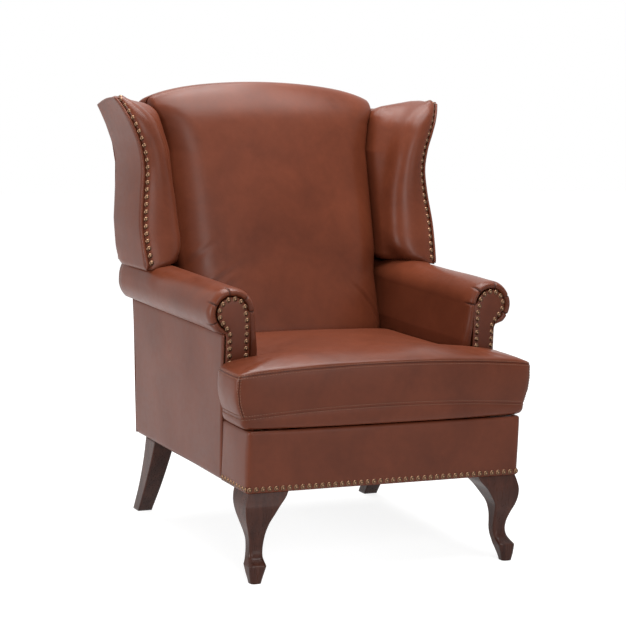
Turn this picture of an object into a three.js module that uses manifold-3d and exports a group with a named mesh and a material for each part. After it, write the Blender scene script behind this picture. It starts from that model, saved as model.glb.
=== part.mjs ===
// A wingback armchair in smooth leather: hardwood frame, zigzag seat springs, padded
// arms, wings and back, a loose T-shaped seat cushion, cabriole front legs and raked
// rear legs. Millimetres, +Z up. The chair faces -Y and is mirrored about X = 0.
// While it is built, Y = 0 is the front face of the seat box and Z = 0 is the floor.
import * as THREE from "three";
import { mergeVertices } from "three/addons/utils/BufferGeometryUtils.js";
import Module from "manifold-3d";

const wasm = await Module();
wasm.setup();

// Driving dimensions
const seatSpan = 513;
const armThickness = 73.5;
const seatBoxHeight = 133;
const legHeight = 193;
const frontBorderDepth = 138;
const baseDepth = 663;
const armHeight = 611;
const armRollRadius = 54;
const armOverhang = 42;
const crestHeight = 1025;
const wingDrop = 37;
const wingLift = 4;
const wingOverhang = 38;
const wingFlare = 54;
const wingSweep = 112;
const wingReach = 64;
const backThickness = 96;
const backOverlap = 5.5;
const backCornerSpread = 23;
const cushionOverhang = 30;
const cushionBoxing = 92;
const skin = 4;
const gap = 0.3;
const railThickness = 22;
const postThickness = 22;
const stileWidth = 28;
const stileDepth = 30;
const nailPitch = 15.5;
const nailRadius = 5.4;
const nailHeight = 3;

// Slopes of the outside back below and above the arms, and of the inside back
const lowerRakeShare = 0.09;
const upperRakeShare = 0.219;
const grooveRakeShare = 0.3;
const lowerGrooveRakeShare = 0.38;

// Planes and lines that several pieces follow
const armInner = seatSpan / 2;
const boxHalf = armInner + armThickness;
const boxBottom = legHeight + gap;
const boxTop = legHeight + seatBoxHeight;
const deckTop = boxTop - skin - gap;
const dustThickness = 1.7;
const railBottom = boxBottom + dustThickness + gap;
const deckPadThickness = 12;
const springTop = deckTop - deckPadThickness;
const springWire = 4;
const railTop = springTop - springWire - 2 * gap;
const frameHalf = boxHalf - skin - gap;
const rollCentreX = boxHalf + armOverhang - armRollRadius;
const rollCentreZ = armHeight - armRollRadius;
const backHalf = armInner + backOverlap;
const grooveDepth = baseDepth - backThickness;
const wingFrontDepth = grooveDepth - wingReach;
const wingWaist = boxHalf + wingOverhang;
const wingBottom = armHeight + wingLift;
const wingTop = crestHeight - wingDrop;
const rakeDrop = 11;
const rakeHeight = armHeight - rakeDrop;
const stileOuter = frameHalf - skin;
const stileInner = stileOuter - stileWidth;

function rearY(z) {
  const low = baseDepth + lowerRakeShare * (Math.min(z, rakeHeight) - legHeight);
  return low + upperRakeShare * Math.max(z - rakeHeight, 0);
}

function frameRearY(z) {
  return rearY(z) - skin - gap;
}

function frameFrontY(z) {
  return frameRearY(z) - stileDepth;
}

// Materials
const leather = { color: 0x7a4431, roughness: 0.42, metalness: 0 };
const innerCloth = { color: 0x2b2725, roughness: 0.95, metalness: 0 };
const foam = { color: 0xe6dcc0, roughness: 0.9, metalness: 0 };
const hardwood = { color: 0xb58a5c, roughness: 0.7, metalness: 0 };
const stainedWood = { color: 0x3b241c, roughness: 0.35, metalness: 0 };
const springSteel = { color: 0x8c8f92, roughness: 0.4, metalness: 1 };
const antiqueBrass = { color: 0x8a6440, roughness: 0.38, metalness: 0.9 };

const chair = new THREE.Group();
const sides = [["left", -1], ["right", 1]];

function addPiece(name, geometry, finish) {
  const mesh = new THREE.Mesh(geometry, new THREE.MeshStandardMaterial(finish));
  mesh.name = name;
  chair.add(mesh);
}

// Closed skin through rings of equal point count, with flat caps on both ends
function loft(rings) {
  const count = rings[0].length;
  const vertices = rings.flat(2);
  const faces = [];
  for (let r = 0; r + 1 < rings.length; r += 1) {
    for (let i = 0; i < count; i += 1) {
      const a = r * count + i;
      const b = r * count + (i + 1) % count;
      faces.push(a, b, b + count, a, b + count, a + count);
    }
  }
  const last = (rings.length - 1) * count;
  for (const [a, b, c] of capFaces(rings[0])) faces.push(a, c, b);
  for (const [a, b, c] of capFaces(rings[rings.length - 1])) faces.push(last + a, last + b, last + c);
  if (signedVolume(vertices, faces) < 0) faces.reverse();
  const geometry = new THREE.BufferGeometry();
  geometry.setAttribute("position", new THREE.Float32BufferAttribute(vertices, 3));
  geometry.setIndex(faces);
  return geometry;
}

// Triangles over one ring, wound like the ring, seen along its longest normal axis
function capFaces(ring) {
  const points = ring.map((p) => new THREE.Vector3(...p));
  const normal = new THREE.Vector3();
  points.forEach((p, i) => normal.add(p.clone().cross(points[(i + 1) % points.length])));
  const size = [Math.abs(normal.x), Math.abs(normal.y), Math.abs(normal.z)];
  const drop = size.indexOf(Math.max(...size));
  const flat = points.map((p) => {
    const kept = p.toArray().filter((value, axis) => axis !== drop);
    return new THREE.Vector2(...kept);
  });
  const forwards = !THREE.ShapeUtils.isClockWise(flat);
  const triangles = THREE.ShapeUtils.triangulateShape(flat, []);
  return triangles.map((t) => {
    const area = (flat[t[1]].x - flat[t[0]].x) * (flat[t[2]].y - flat[t[0]].y)
      - (flat[t[2]].x - flat[t[0]].x) * (flat[t[1]].y - flat[t[0]].y);
    return (area > 0) === forwards ? t : [t[0], t[2], t[1]];
  });
}

function signedVolume(vertices, faces) {
  let total = 0;
  for (let i = 0; i < faces.length; i += 3) {
    const [a, b, c] = [0, 1, 2].map((k) => new THREE.Vector3().fromArray(vertices, 3 * faces[i + k]));
    total += a.dot(b.cross(c));
  }
  return total;
}

function block(x, y, z) {
  const box = new THREE.BoxGeometry(x[1] - x[0], y[1] - y[0], z[1] - z[0]);
  return box.translate((x[0] + x[1]) / 2, (y[0] + y[1]) / 2, (z[0] + z[1]) / 2);
}

// Four-cornered bar whose X and Y limits change with height
function raked(levels, xAt, yAt) {
  return loft(levels.map((z) => {
    const [x, y] = [xAt(z), yAt(z)];
    return [[x[0], y[0], z], [x[1], y[0], z], [x[1], y[1], z], [x[0], y[1], z]];
  }));
}

function manifoldOf(geometry) {
  const bare = geometry.clone();
  bare.deleteAttribute("normal");
  bare.deleteAttribute("uv");
  const merged = mergeVertices(bare);
  const mesh = new wasm.Mesh({
    numProp: 3,
    vertProperties: new Float32Array(merged.attributes.position.array),
    triVerts: new Uint32Array(merged.index.array),
  });
  return new wasm.Manifold(mesh);
}

function geometryOf(manifold) {
  const mesh = manifold.getMesh();
  const geometry = new THREE.BufferGeometry();
  geometry.setAttribute("position", new THREE.Float32BufferAttribute(mesh.vertProperties, 3));
  geometry.setIndex(Array.from(mesh.triVerts));
  return geometry;
}

function cut(geometry, tools) {
  return geometryOf(tools.reduce((solid, tool) => solid.subtract(manifoldOf(tool)), manifoldOf(geometry)));
}

function grown(limits, by) {
  return [limits[0] - by, limits[1] + by];
}

// Limits across the chair on one side, lowest first
function across(side, inner, outer) {
  return side > 0 ? [inner, outer] : [-outer, -inner];
}

// Value between the rows of a table of [key, value] pairs
function between(rows, key) {
  const next = rows.findIndex((row) => row[0] >= key);
  if (next === 0) return rows[0][1];
  if (next < 0) return rows[rows.length - 1][1];
  const [low, high] = [rows[next - 1], rows[next]];
  return low[1] + (high[1] - low[1]) * (key - low[0]) / (high[0] - low[0]);
}

// Seat rails, glued and dowelled into an open box under the seat
const sideRailY = [skin + gap, frameFrontY(railBottom) - gap];
for (const [word, side] of sides) {
  const x = across(side, frameHalf - railThickness, frameHalf);
  addPiece(`seat_side_rail_${word}`, block(x, sideRailY, [railBottom, deckTop]), hardwood);
}
const crossRailHalf = frameHalf - railThickness - gap;
const crossRailZ = [railBottom, railTop];
const frontRailY = [sideRailY[0], sideRailY[0] + railThickness];
const rearRailY = [frameFrontY(railBottom) - gap - railThickness, frameFrontY(railBottom) - gap];
const crossRailX = [-crossRailHalf, crossRailHalf];
addPiece("seat_front_rail", block(crossRailX, frontRailY, crossRailZ), hardwood);
addPiece("seat_rear_rail", block(crossRailX, rearRailY, crossRailZ), hardwood);

// Corner blocks take the leg bolts
const cornerBlockSize = 74;
const cornerBlockHeight = 60;
const boltFromRail = 18;
const blockZ = [boxBottom, boxBottom + cornerBlockHeight];
const frontBlockY = [frontRailY[1] + gap, frontRailY[1] + gap + cornerBlockSize];
const rearBlockY = [rearRailY[0] - gap - cornerBlockSize, rearRailY[0] - gap];
const blockX = [crossRailHalf - cornerBlockSize, crossRailHalf];
const boltRadius = 4;
const boltLength = 60;
const boltSides = 12;
const frontBoltPlace = [blockX[1] - boltFromRail, frontBlockY[0] + boltFromRail];
const rearBoltPlace = [blockX[1] - boltFromRail, (rearBlockY[0] + rearBlockY[1]) / 2];

function bolt(place, side, radius, z) {
  const rod = new THREE.CylinderGeometry(radius, radius, z[1] - z[0], boltSides);
  return rod.rotateX(Math.PI / 2).translate(side * place[0], place[1], (z[0] + z[1]) / 2);
}

const boltZ = [legHeight - boltLength / 3, legHeight + boltLength];
const cornerSets = [["front", frontBlockY, frontBoltPlace], ["rear", rearBlockY, rearBoltPlace]];
for (const [word, side] of sides) {
  for (const [end, y, place] of cornerSets) {
    const body = block(across(side, ...blockX), y, blockZ);
    const bore = bolt(place, side, boltRadius + gap, grown(boltZ, boltLength));
    addPiece(`corner_block_${end}_${word}`, cut(body, [bore]), hardwood);
    addPiece(`leg_bolt_${end}_${word}`, bolt(place, side, boltRadius, boltZ), springSteel);
  }
}

// Zigzag seat springs from the front rail to the rear rail
const springCount = 5;
const springSpread = 92;
const springHalfWidth = 24;
const springPitch = 62;
const springEndInset = 6;
const springSteps = 44;
const springZ = railTop + gap + springWire / 2;
const springY = [frontRailY[0] + springEndInset, rearRailY[1] - springEndInset];
const springWaves = Math.round((springY[1] - springY[0]) / springPitch);

class ZigzagCurve extends THREE.Curve {
  constructor(centreX) {
    super();
    this.centreX = centreX;
  }

  getPoint(t) {
    const swing = springHalfWidth * Math.sin(2 * Math.PI * springWaves * t);
    return new THREE.Vector3(this.centreX + swing, springY[0] + t * (springY[1] - springY[0]), springZ);
  }
}

const halfWire = springWire / 2;
const wireSection = new THREE.Shape([
  new THREE.Vector2(-halfWire, -halfWire), new THREE.Vector2(halfWire, -halfWire),
  new THREE.Vector2(halfWire, halfWire), new THREE.Vector2(-halfWire, halfWire),
]);
for (let n = 0; n < springCount; n += 1) {
  const path = new ZigzagCurve((n - (springCount - 1) / 2) * springSpread);
  const wire = new THREE.ExtrudeGeometry(wireSection, { steps: springSteps, extrudePath: path });
  addPiece(`seat_spring_${n + 1}`, wire, springSteel);
}

// Deck: a fibre pad over the springs and the deck cloth under the cushion
const deckPadY = sideRailY;
addPiece("seat_deck_pad", block(crossRailX, deckPadY, [springTop, deckTop]), foam);
const borderEnd = frontBorderDepth;
const seatGrooveShare = 0.55;
const backFootY = grooveDepth - lowerGrooveRakeShare * (rakeHeight - boxTop) * seatGrooveShare;
const clothHalf = armInner - gap;
const clothY = [borderEnd + 2 * gap, backFootY - 2 * gap];
addPiece("seat_deck_cloth", block([-clothHalf, clothHalf], clothY, [deckTop + gap, boxTop]), innerCloth);

// Dust cover under the frame, notched round the corner blocks
const dustY = [frontRailY[0], rearRailY[1]];
const dustSheet = block(crossRailX, dustY, [boxBottom, railBottom - gap]);
const dustNotches = sides.flatMap(([, side]) => [
  block(grown(across(side, ...blockX), gap), grown(frontBlockY, gap), grown(blockZ, gap)),
  block(grown(across(side, ...blockX), gap), grown(rearBlockY, gap), grown(blockZ, gap)),
]);
addPiece("dust_cover", cut(dustSheet, dustNotches), innerCloth);

// Leather border round the front of the seat box, with its two short returns and top
const borderShell = block([-boxHalf, boxHalf], [0, borderEnd], [boxBottom, boxTop]);
const borderHollow = block([-frameHalf - gap, frameHalf + gap], [skin, borderEnd + skin], [0, deckTop + gap]);
addPiece("front_border_cover", cut(borderShell, [borderHollow]), leather);

// Back stiles run from the seat rails to the crest, kinked above the arms
const stileFromWingTop = 45;
const stileTop = wingTop - stileFromWingTop;
const stileLevels = [railBottom, rakeHeight, stileTop];

function stileGeometry(side, spare) {
  const x = grown(across(side, stileInner, stileOuter), spare);
  const levels = [stileLevels[0] - spare, stileLevels[1], stileLevels[2] + spare];
  return raked(levels, () => x, (z) => [frameFrontY(z) - spare, frameRearY(z) + 4 * spare]);
}

for (const [word, side] of sides) {
  addPiece(`back_stile_${word}`, stileGeometry(side, 0), hardwood);
}

// Crest rail sawn to the arch, lower back rail, and two elastic webs between them
const crestDrop = 36;
const crestPadDepth = 34;
const crestRailHeight = 56;
const crestRailHalf = stileInner - gap;
const crestRailFoot = stileTop - crestRailHeight;
const crestStationShares = [-1, -0.75, -0.45, 0, 0.45, 0.75, 1];

const crestRoundShare = 0.4;

function crestZ(share) {
  const drop = (1 - crestRoundShare) * share ** 2 + crestRoundShare * share ** 6;
  return crestHeight - crestDrop * drop;
}

function crestRailGeometry(spare) {
  return loft(crestStationShares.map((share) => {
    const x = share * (crestRailHalf + spare);
    const z = [crestRailFoot - spare, crestZ(share) - crestPadDepth + spare];
    return [
      [x, frameFrontY(z[0]) - spare, z[0]], [x, frameRearY(z[0]) + 4 * spare, z[0]],
      [x, frameRearY(z[1]) + 4 * spare, z[1]], [x, frameFrontY(z[1]) - spare, z[1]],
    ];
  }));
}

addPiece("back_crest_rail", crestRailGeometry(0), hardwood);
const lowerBackRailLift = 20;
const lowerBackRailZ = [boxTop + lowerBackRailLift, boxTop + lowerBackRailLift + crestRailHeight];
addPiece("back_lower_rail", raked(lowerBackRailZ, () => [-crestRailHalf, crestRailHalf],
  (z) => [frameFrontY(z), frameRearY(z)]), hardwood);

const webThickness = 2;
const webWidth = 60;
const webPlace = 108;
const webLevels = [lowerBackRailZ[0], lowerBackRailZ[1], crestRailFoot, crestRailFoot + crestRailHeight / 2];
for (const [word, side] of sides) {
  const x = across(side, webPlace - webWidth / 2, webPlace + webWidth / 2);
  addPiece(`back_web_${word}`, raked(webLevels, () => x,
    (z) => [frameFrontY(z) - gap - webThickness, frameFrontY(z) - gap]), innerCloth);
}

// Neck of the arm roll, where the outside panels end
const neckDrop = 46;
const neckOverhang = 6;
const neckZ = rollCentreZ - neckDrop;
const neckX = boxHalf + neckOverhang;

// Inside back pad: crowned between the wings, narrower between the arms, and rolled
// over the crest rail
const backCrown = 30;
const backFootZ = boxTop + gap;
const backSideClearance = 4;
const backShoulder = 40;
const backSpreadHeight = 124;
const backCrownStartShare = 0.04;
const backCrownSpanShare = 0.84;
const backStationShares = [-1, -0.97, -0.85, -0.62, -0.32, 0, 0.32, 0.62, 0.85, 0.97, 1];
const backFrontShares = [0, 0.18, 0.3, 0.36, 0.43, 0.55, 0.68, 0.82, 1];
const backWidthRows = [
  [armHeight - backShoulder, armInner - backSideClearance], [armHeight + backShoulder / 2, backHalf],
  [crestHeight - crestDrop - backSpreadHeight, backHalf],
  [crestHeight - crestDrop, backHalf + backCornerSpread],
];
const crestRoll = 52;
const crestRollShares = [[0.42, 0.14], [0.12, 0.06], [0, 0], [0.12, -0.06], [0.45, -0.1]];
const endRollShare = 0.75;

function grooveY(z) {
  if (z >= rakeHeight) return grooveDepth + grooveRakeShare * (z - rakeHeight);
  return Math.max(grooveDepth - lowerGrooveRakeShare * (rakeHeight - z), backFootY);
}

function padRearY(z) {
  return frameFrontY(z) - webThickness - 2 * gap;
}

// One slice of the pad from the seat up its face, over the crest and down its rear
function backRing(share, spare) {
  const middle = 1 - share ** 4;
  const shoulder = crestZ(share) - crestRoll;
  const rollHeight = Math.abs(share) === 1 ? crestRoll * endRollShare : crestRoll;
  const levels = backFrontShares.map((t) => backFootZ + t * (shoulder - backFootZ));
  const front = levels.map((z, i) => {
    const swell = Math.sin(Math.PI * (backCrownStartShare + backCrownSpanShare * backFrontShares[i]));
    return [grooveY(z) - backCrown * middle * swell - spare, z];
  });
  const [lastY, lastZ] = front[front.length - 1];
  const rollDepth = rearY(shoulder) - lastY;
  const roll = crestRollShares.map(([drop, back], i) => {
    const reach = (i + 1) / (crestRollShares.length + 1);
    return [lastY + rollDepth * (reach - back * (1 - reach)), lastZ + rollHeight * (1 - drop) + spare];
  });
  const hook = crestZ(share) - crestPadDepth;
  const behind = [[rearY(hook) - gap, hook + gap], [padRearY(hook) + spare, hook - gap - spare]];
  const rear = levels.slice(0, -1).reverse().map((z) => [padRearY(z) + spare, z]);
  return [...front, ...roll, ...behind, ...rear].map(([y, z]) => (
    [share * (between(backWidthRows, z) + spare), y, z]));
}

function backPadGeometry(spare) {
  return loft(backStationShares.map((share) => backRing(share, spare)));
}

// Wing outline: shares of the height, flare, sweep and front roll at each station
const wingShares = [
  [0, 0.15, 0, 1.03], [0.09, 0.2, 0.12, 1.38], [0.23, 0.22, 0.29, 1.42], [0.42, 0.08, 0.46, 1.25],
  [0.57, 0, 0.53, 1.05], [0.7, 0.13, 0.56, 1], [0.8, 0.37, 0.6, 1.01], [0.88, 0.6, 0.68, 1.01],
  [0.95, 0.82, 0.83, 0.96], [1, 1, 1, 0.82],
];
const wingOverlap = 6;
const wingRoll = 76;
const wingBulge = 10;
const nailLineInset = 11;
const wingTopSlope = 26;
const wingTopHump = 6;
const wingFootDrop = 14;
const wingTopTaper = 14;
const wingHeight = wingTop - wingBottom;

function wingStation([heightShare, flareShare, sweepShare, rollShare], i) {
  const z = wingBottom + wingHeight * heightShare;
  const tilt = (i / (wingShares.length - 1)) ** 6;
  const sag = i === 0 ? wingFootDrop : 0;
  return {
    z, tilt,
    inner: between(backWidthRows, z) - wingOverlap,
    edgeX: wingWaist + wingFlare * flareShare,
    rearX: wingWaist + wingFlare * flareShare - wingTopTaper * tilt,
    edgeY: wingFrontDepth + wingSweep * sweepShare,
    silhouette: wingWaist + wingFlare * flareShare - wingRoll * rollShare,
    rear: frameRearY(z - wingTopSlope * tilt - sag) - gap,
    sag,
  };
}

// Height of the wing's section at a share of the way from its front edge to its rear
function wingLevel({ z, tilt }, share) {
  return z + tilt * (wingTopHump * Math.sin(Math.PI * share) - wingTopSlope * share);
}

const wingStations = wingShares.map(wingStation);

// Outside back panel: one flat sheet behind the arms, the wings and the crest
const notchHalf = backHalf + backCornerSpread;
const panelTopShares = [0.85, 0.62, 0.32, 0.1];
const panelRows = [
  [boxBottom, boxHalf], [neckZ, neckX], [wingBottom - wingFootDrop - gap, neckX],
  ...wingStations.slice(0, -1).map(({ z, rearX, sag }) => [z - sag, rearX]),
  [wingTop - wingTopSlope, edgeAt(wingTop - wingTopSlope, "rearX")],
  [wingTop - wingTopSlope + gap, notchHalf],
  ...panelTopShares.map((share) => [crestZ(share) - crestPadDepth, notchHalf * share]),
];

function outsideBackGeometry(spare) {
  return loft(panelRows.map(([z, x]) => [
    [-x - spare, rearY(z) - skin - spare, z], [x + spare, rearY(z) - skin - spare, z],
    [x + spare, rearY(z) + spare, z], [-x - spare, rearY(z) + spare, z],
  ]));
}

addPiece("outside_back_panel", outsideBackGeometry(0), leather);

addPiece("back_pad", cut(backPadGeometry(0), [crestRailGeometry(gap), outsideBackGeometry(gap)]), leather);

// Arm frame: a scroll-topped front post and a board under the roll
const armFrontY = frontBorderDepth;
const facingThickness = 3;
const facingInset = 17;
const facingY = [armFrontY - facingThickness - gap / 2, armFrontY - gap / 2];
const armPadFrontY = armFrontY + gap;
const postY = [armPadFrontY + skin, armPadFrontY + skin + postThickness];
const padThickness = 27;
const postInner = armInner + padThickness;
const postRollRadius = 30;
const armBoardThickness = 18;
const armBoardZ = [neckZ + postThickness / 2, neckZ + postThickness / 2 + armBoardThickness];
const armRearY = rearY(neckZ) - skin - 2 * gap;
const scrollSteps = 10;
const scrollEndShare = 0.28;

// Outline of the arm in X and Z: up the inner side, round the roll, and back at the neck
function armOutline(inner, radius, outer, foot, bulge) {
  const points = [[inner, foot], [inner, rollCentreZ - neckDrop * 2]];
  for (let i = 0; i <= scrollSteps; i += 1) {
    const angle = Math.PI - (Math.PI * (1 + scrollEndShare) * i) / scrollSteps;
    points.push([rollCentreX + radius * Math.cos(angle), rollCentreZ + radius * Math.sin(angle)]);
  }
  points.push([outer[1], neckZ + bulge], [outer[0], foot]);
  return points;
}

function prismY(outline, side, levels) {
  return loft(levels.map(([y, inset]) => outline(inset).map(([x, z]) => [side * x, y, z])));
}

const postFoot = deckTop + gap;
const facingFoot = boxTop + gap;

function postGeometry(side, spare) {
  const outline = () => armOutline(postInner - spare, postRollRadius + spare,
    [frameHalf + spare, frameHalf + spare], postFoot - spare, spare);
  return prismY(outline, side, [[postY[0] - spare, 0], [postY[1] + spare, 0]]);
}

function armBoardGeometry(side, spare) {
  const x = grown(across(side, postInner, frameHalf), spare);
  const y = [postY[1] + gap - spare, frameFrontY(armBoardZ[0]) - gap + spare];
  return block(x, y, grown(armBoardZ, spare));
}

// Inside arm pad: one piece of padding and leather over the roll, softened at its
// front edge, hollow under the arm board where the frame is open
const softEdge = 11;
const overrun = 40;

function backFrameSpace(side) {
  return raked([boxBottom, rakeHeight, armHeight + overrun], () => across(side, 0, stileInner),
    (z) => [frameFrontY(z) - gap, rearY(z) + overrun]);
}

function armPadOutline(inset) {
  const outer = [frameHalf, neckX - skin - gap];
  return armOutline(armInner + inset, armRollRadius - inset, outer, postFoot, inset / 2);
}

for (const [word, side] of sides) {
  const levels = [
    [armPadFrontY, softEdge], [armPadFrontY + softEdge / 3, softEdge / 3],
    [armPadFrontY + softEdge, 0], [armRearY - softEdge / 2, 0], [armRearY, softEdge / 2],
  ];
  const cavityX = across(side, postInner, neckX);
  const cavityZ = [postFoot - overrun, armBoardZ[0]];
  const tools = [
    block(cavityX, [postY[1] + gap, armRearY + overrun], cavityZ), backFrameSpace(side),
    postGeometry(side, gap), armBoardGeometry(side, gap), stileGeometry(side, gap),
  ];
  addPiece(`arm_pad_${word}`, cut(prismY(armPadOutline, side, levels), tools), leather);
  addPiece(`arm_front_post_${word}`, postGeometry(side, 0), hardwood);
  addPiece(`arm_board_${word}`, armBoardGeometry(side, 0), hardwood);
  const facing = () => armOutline(armInner + facingInset, armRollRadius - facingInset,
    [boxHalf - gap, boxHalf - gap], facingFoot, facingInset / 3);
  addPiece(`arm_facing_${word}`, prismY(facing, side, [[facingY[0], 0], [facingY[1], 0]]), leather);
}

// Outside arm panels, leather over card, from the seat box to the neck of the roll
for (const [word, side] of sides) {
  const levels = [boxBottom, neckZ - gap];
  const outer = (z) => boxHalf + (neckX - boxHalf) * (z - boxBottom) / (neckZ - boxBottom);
  addPiece(`outside_arm_panel_${word}`, raked(levels, (z) => across(side, outer(z) - skin, outer(z)),
    (z) => [borderEnd + 2 * gap, frameRearY(z)]), leather);
}

// Section of the wing pad from its outer front corner round the front roll: shares of the
// roll's width, then of the bulge, then of the drop at the foot
const wingSectionShares = [
  [0, 0, 1], [0.22, -0.3, 0.7], [0.5, -1, 0.3], [0.8, -0.3, 0], [0.95, 1.6, 0], [1, 3.5, 0],
];
const hollowShare = 0.2;
const hollowDepth = 12;

function wingPadRing(station, side) {
  const { z, inner, edgeX, rearX, edgeY, silhouette, rear, sag } = station;
  const outer = edgeX - skin - gap;
  const width = outer - silhouette;
  const section = wingSectionShares.map(([inset, bulge, drop]) => (
    [outer - width * inset, edgeY + wingBulge * bulge, drop]));
  const middle = (edgeY + rear) / 2;
  const points = [
    ...section, [silhouette - (silhouette - inner) * hollowShare, grooveY(z) - hollowDepth, 0],
    [inner, grooveY(z) + skin, 0], [inner, rear, 0], [rearX - skin - gap, rear, 1],
    [(edgeX + rearX) / 2 - skin - gap, middle, 1],
  ];
  return points.map(([x, y, drop]) => {
    const share = Math.max((y - edgeY) / (rear - edgeY), 0);
    return [side * x, y, wingLevel(station, share) - sag * drop];
  });
}

// The same ring drawn in towards its middle and moved by a height
function drawnIn(ring, keptShare, rise) {
  const middle = [0, 1].map((axis) => ring.reduce((sum, point) => sum + point[axis], 0) / ring.length);
  return ring.map(([x, y, z]) => [
    middle[0] + (x - middle[0]) * keptShare, middle[1] + (y - middle[1]) * keptShare, z + rise,
  ]);
}

function wingBarRing(side, x, y, z) {
  return [[side * x[0], y, z[0]], [side * x[1], y, z[0]], [side * x[1], y, z[1]], [side * x[0], y, z[1]]];
}

// Wing frame: a sawn front stile and two rails back to the back stile
const wingStileWidth = 20;
const wingStileDepth = 32;
const wingRailHeight = 24;
const wingFrameInset = 14;

function edgeAt(z, key) {
  return between(wingStations.map((station) => [station.z, station[key]]), z);
}

function wingStileGeometry(side, spare) {
  const limits = grown([wingBottom + wingFrameInset, wingTop - 2 * wingFrameInset], spare);
  const inside = wingStations.map(({ z }) => z).filter((z) => z > limits[0] && z < limits[1]);
  const levels = [limits[0], ...inside, limits[1]];
  const outer = (z) => edgeAt(z, "rearX") - skin - gap + spare;
  return raked(levels, (z) => across(side, outer(z) - wingStileWidth - 2 * spare, outer(z) + 3 * spare),
    (z) => [edgeAt(z, "edgeY") + skin - spare, edgeAt(z, "edgeY") + skin + wingStileDepth + spare]);
}

function wingRailGeometry(side, foot, spare) {
  const z = grown([foot, foot + wingRailHeight], spare);
  const edge = Math.min(edgeAt(foot, "rearX"), edgeAt(foot + wingRailHeight, "rearX")) - skin - 2 * gap;
  const frontX = grown([edge - wingStileWidth, edge - gap], spare);
  const rearX = grown([stileOuter - wingStileWidth, stileOuter], spare);
  const frontY = edgeAt(foot, "edgeY") + wingStileDepth - spare;
  const endY = frameFrontY(foot) - gap + spare;
  return loft([wingBarRing(side, frontX, frontY, z), wingBarRing(side, rearX, endY, z)]);
}

const wingRailFeet = [
  ["lower", wingBottom + wingFrameInset + gap],
  ["upper", wingTop - 3 * wingFrameInset - wingRailHeight],
];

// Wing pad: rings at the stations, with drawn-in rings that round its foot and its top
const wingEdgeRound = 8;
const footKeptShare = 0.95;
const crownKeptShares = [0.94, 0.8];

function wingPad(side) {
  const [first, ...rest] = wingStations;
  const foot = wingPadRing(first, side);
  const rings = [drawnIn(foot, footKeptShare, 0), drawnIn(foot, 1, wingEdgeRound)];
  rings.push(...rest.map((station) => wingPadRing(station, side)));
  const crown = rings[rings.length - 1];
  crownKeptShares.forEach((keptShare, i) => {
    rings.push(drawnIn(crown, keptShare, wingEdgeRound * (i + 1) / 4));
  });
  return loft(rings);
}

// Outside wing panel, leather over card, from the arm to the sloped top of the wing
function outsideWingGeometry(side) {
  return loft(wingStations.map((station) => {
    const { edgeX, rearX, edgeY, rear, sag } = station;
    const line = [0, 0.5, 1].map((share) => [
      edgeX + (rearX - edgeX) * share, edgeY + (rear - edgeY) * share, wingLevel(station, share) - sag,
    ]);
    return [
      ...line.map(([x, y, z]) => [side * x, y, z]),
      ...line.reverse().map(([x, y, z]) => [side * (x - skin), y, z]),
    ];
  }));
}

for (const [word, side] of sides) {
  addPiece(`wing_front_stile_${word}`, wingStileGeometry(side, 0), hardwood);
  for (const [place, foot] of wingRailFeet) {
    const rail = cut(wingRailGeometry(side, foot, 0), [wingStileGeometry(side, gap)]);
    addPiece(`wing_${place}_rail_${word}`, rail, hardwood);
  }
  const tools = [
    backPadGeometry(gap), wingStileGeometry(side, gap), stileGeometry(side, gap), crestRailGeometry(gap),
    prismY(armPadOutline, side, grown([armPadFrontY, armRearY], gap).map((y) => [y, -gap])),
    ...wingRailFeet.map(([, foot]) => wingRailGeometry(side, foot, gap)),
  ];
  addPiece(`wing_pad_${word}`, cut(wingPad(side), tools), leather);
  addPiece(`outside_wing_panel_${word}`, outsideWingGeometry(side), leather);
}

// Loose T cushion: a zipped leather case over a foam core
const cushionBackShare = 0.7;
const earRear = facingY[0] - 2 * nailHeight;
const cushionRear = backFootY - backCrown * cushionBackShare;
const cushionSide = armInner - 10 * gap;
const cushionFoot = boxTop + gap;
const cushionBow = 12;
const cushionCorner = 6;
const cushionUnder = 24;
const cushionCrown = 31;
const heartShare = 0.84;
const lowerSeamZ = cushionFoot + cushionUnder;
const earHalf = boxHalf + cushionOverhang;

// Outline shares: across the bowed front, round an ear, then beside the arm to the rear
const bowShares = [0, 0.34, 0.67, 0.93];
const earShares = [[0.995, 0.05], [1, 0.16], [1, 0.6], [0.99, 0.86], [0.95, 1], [0.8, 1]];
const throatShares = [[1, 0.6], [1, 0.95], [0.96, 0.99], [0.88, 1]];

function cushionOutline() {
  const half = [
    ...bowShares.map((share) => [share * earHalf, -cushionBow * (1 - share ** 2)]),
    ...earShares.map(([x, y]) => [x * earHalf, y * earRear]),
    [cushionSide + cushionCorner, earRear], [cushionSide, earRear + cushionCorner],
    ...throatShares.map(([x, y]) => [x * cushionSide, y * cushionRear]),
  ];
  const other = half.slice(1).reverse().map(([x, y]) => [-x, y]);
  return [...half, [0, cushionRear], ...other];
}

// Rows of the outline: its reach, then shares of the underside, the boxing and the crown
const coverShares = [
  [0.8, -1, 0, 0], [0.93, -0.75, 0, 0], [0.985, -0.33, 0, 0], [1, 0, 0, 0], [1.008, 0, 0.5, 0],
  [1, 0, 1, 0], [0.975, 0, 1, 0.32], [0.9, 0, 1, 0.62], [0.72, 0, 1, 0.86], [0.45, 0, 1, 0.96],
  [0.2, 0, 1, 1],
];
const coreShares = [
  [0.9, -0.4, 0, 0], [0.97, 0, 0, 0], [0.97, 0, 1, 0], [0.86, 0, 1, 0.5], [0.5, 0, 1, 0.75],
];

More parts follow.
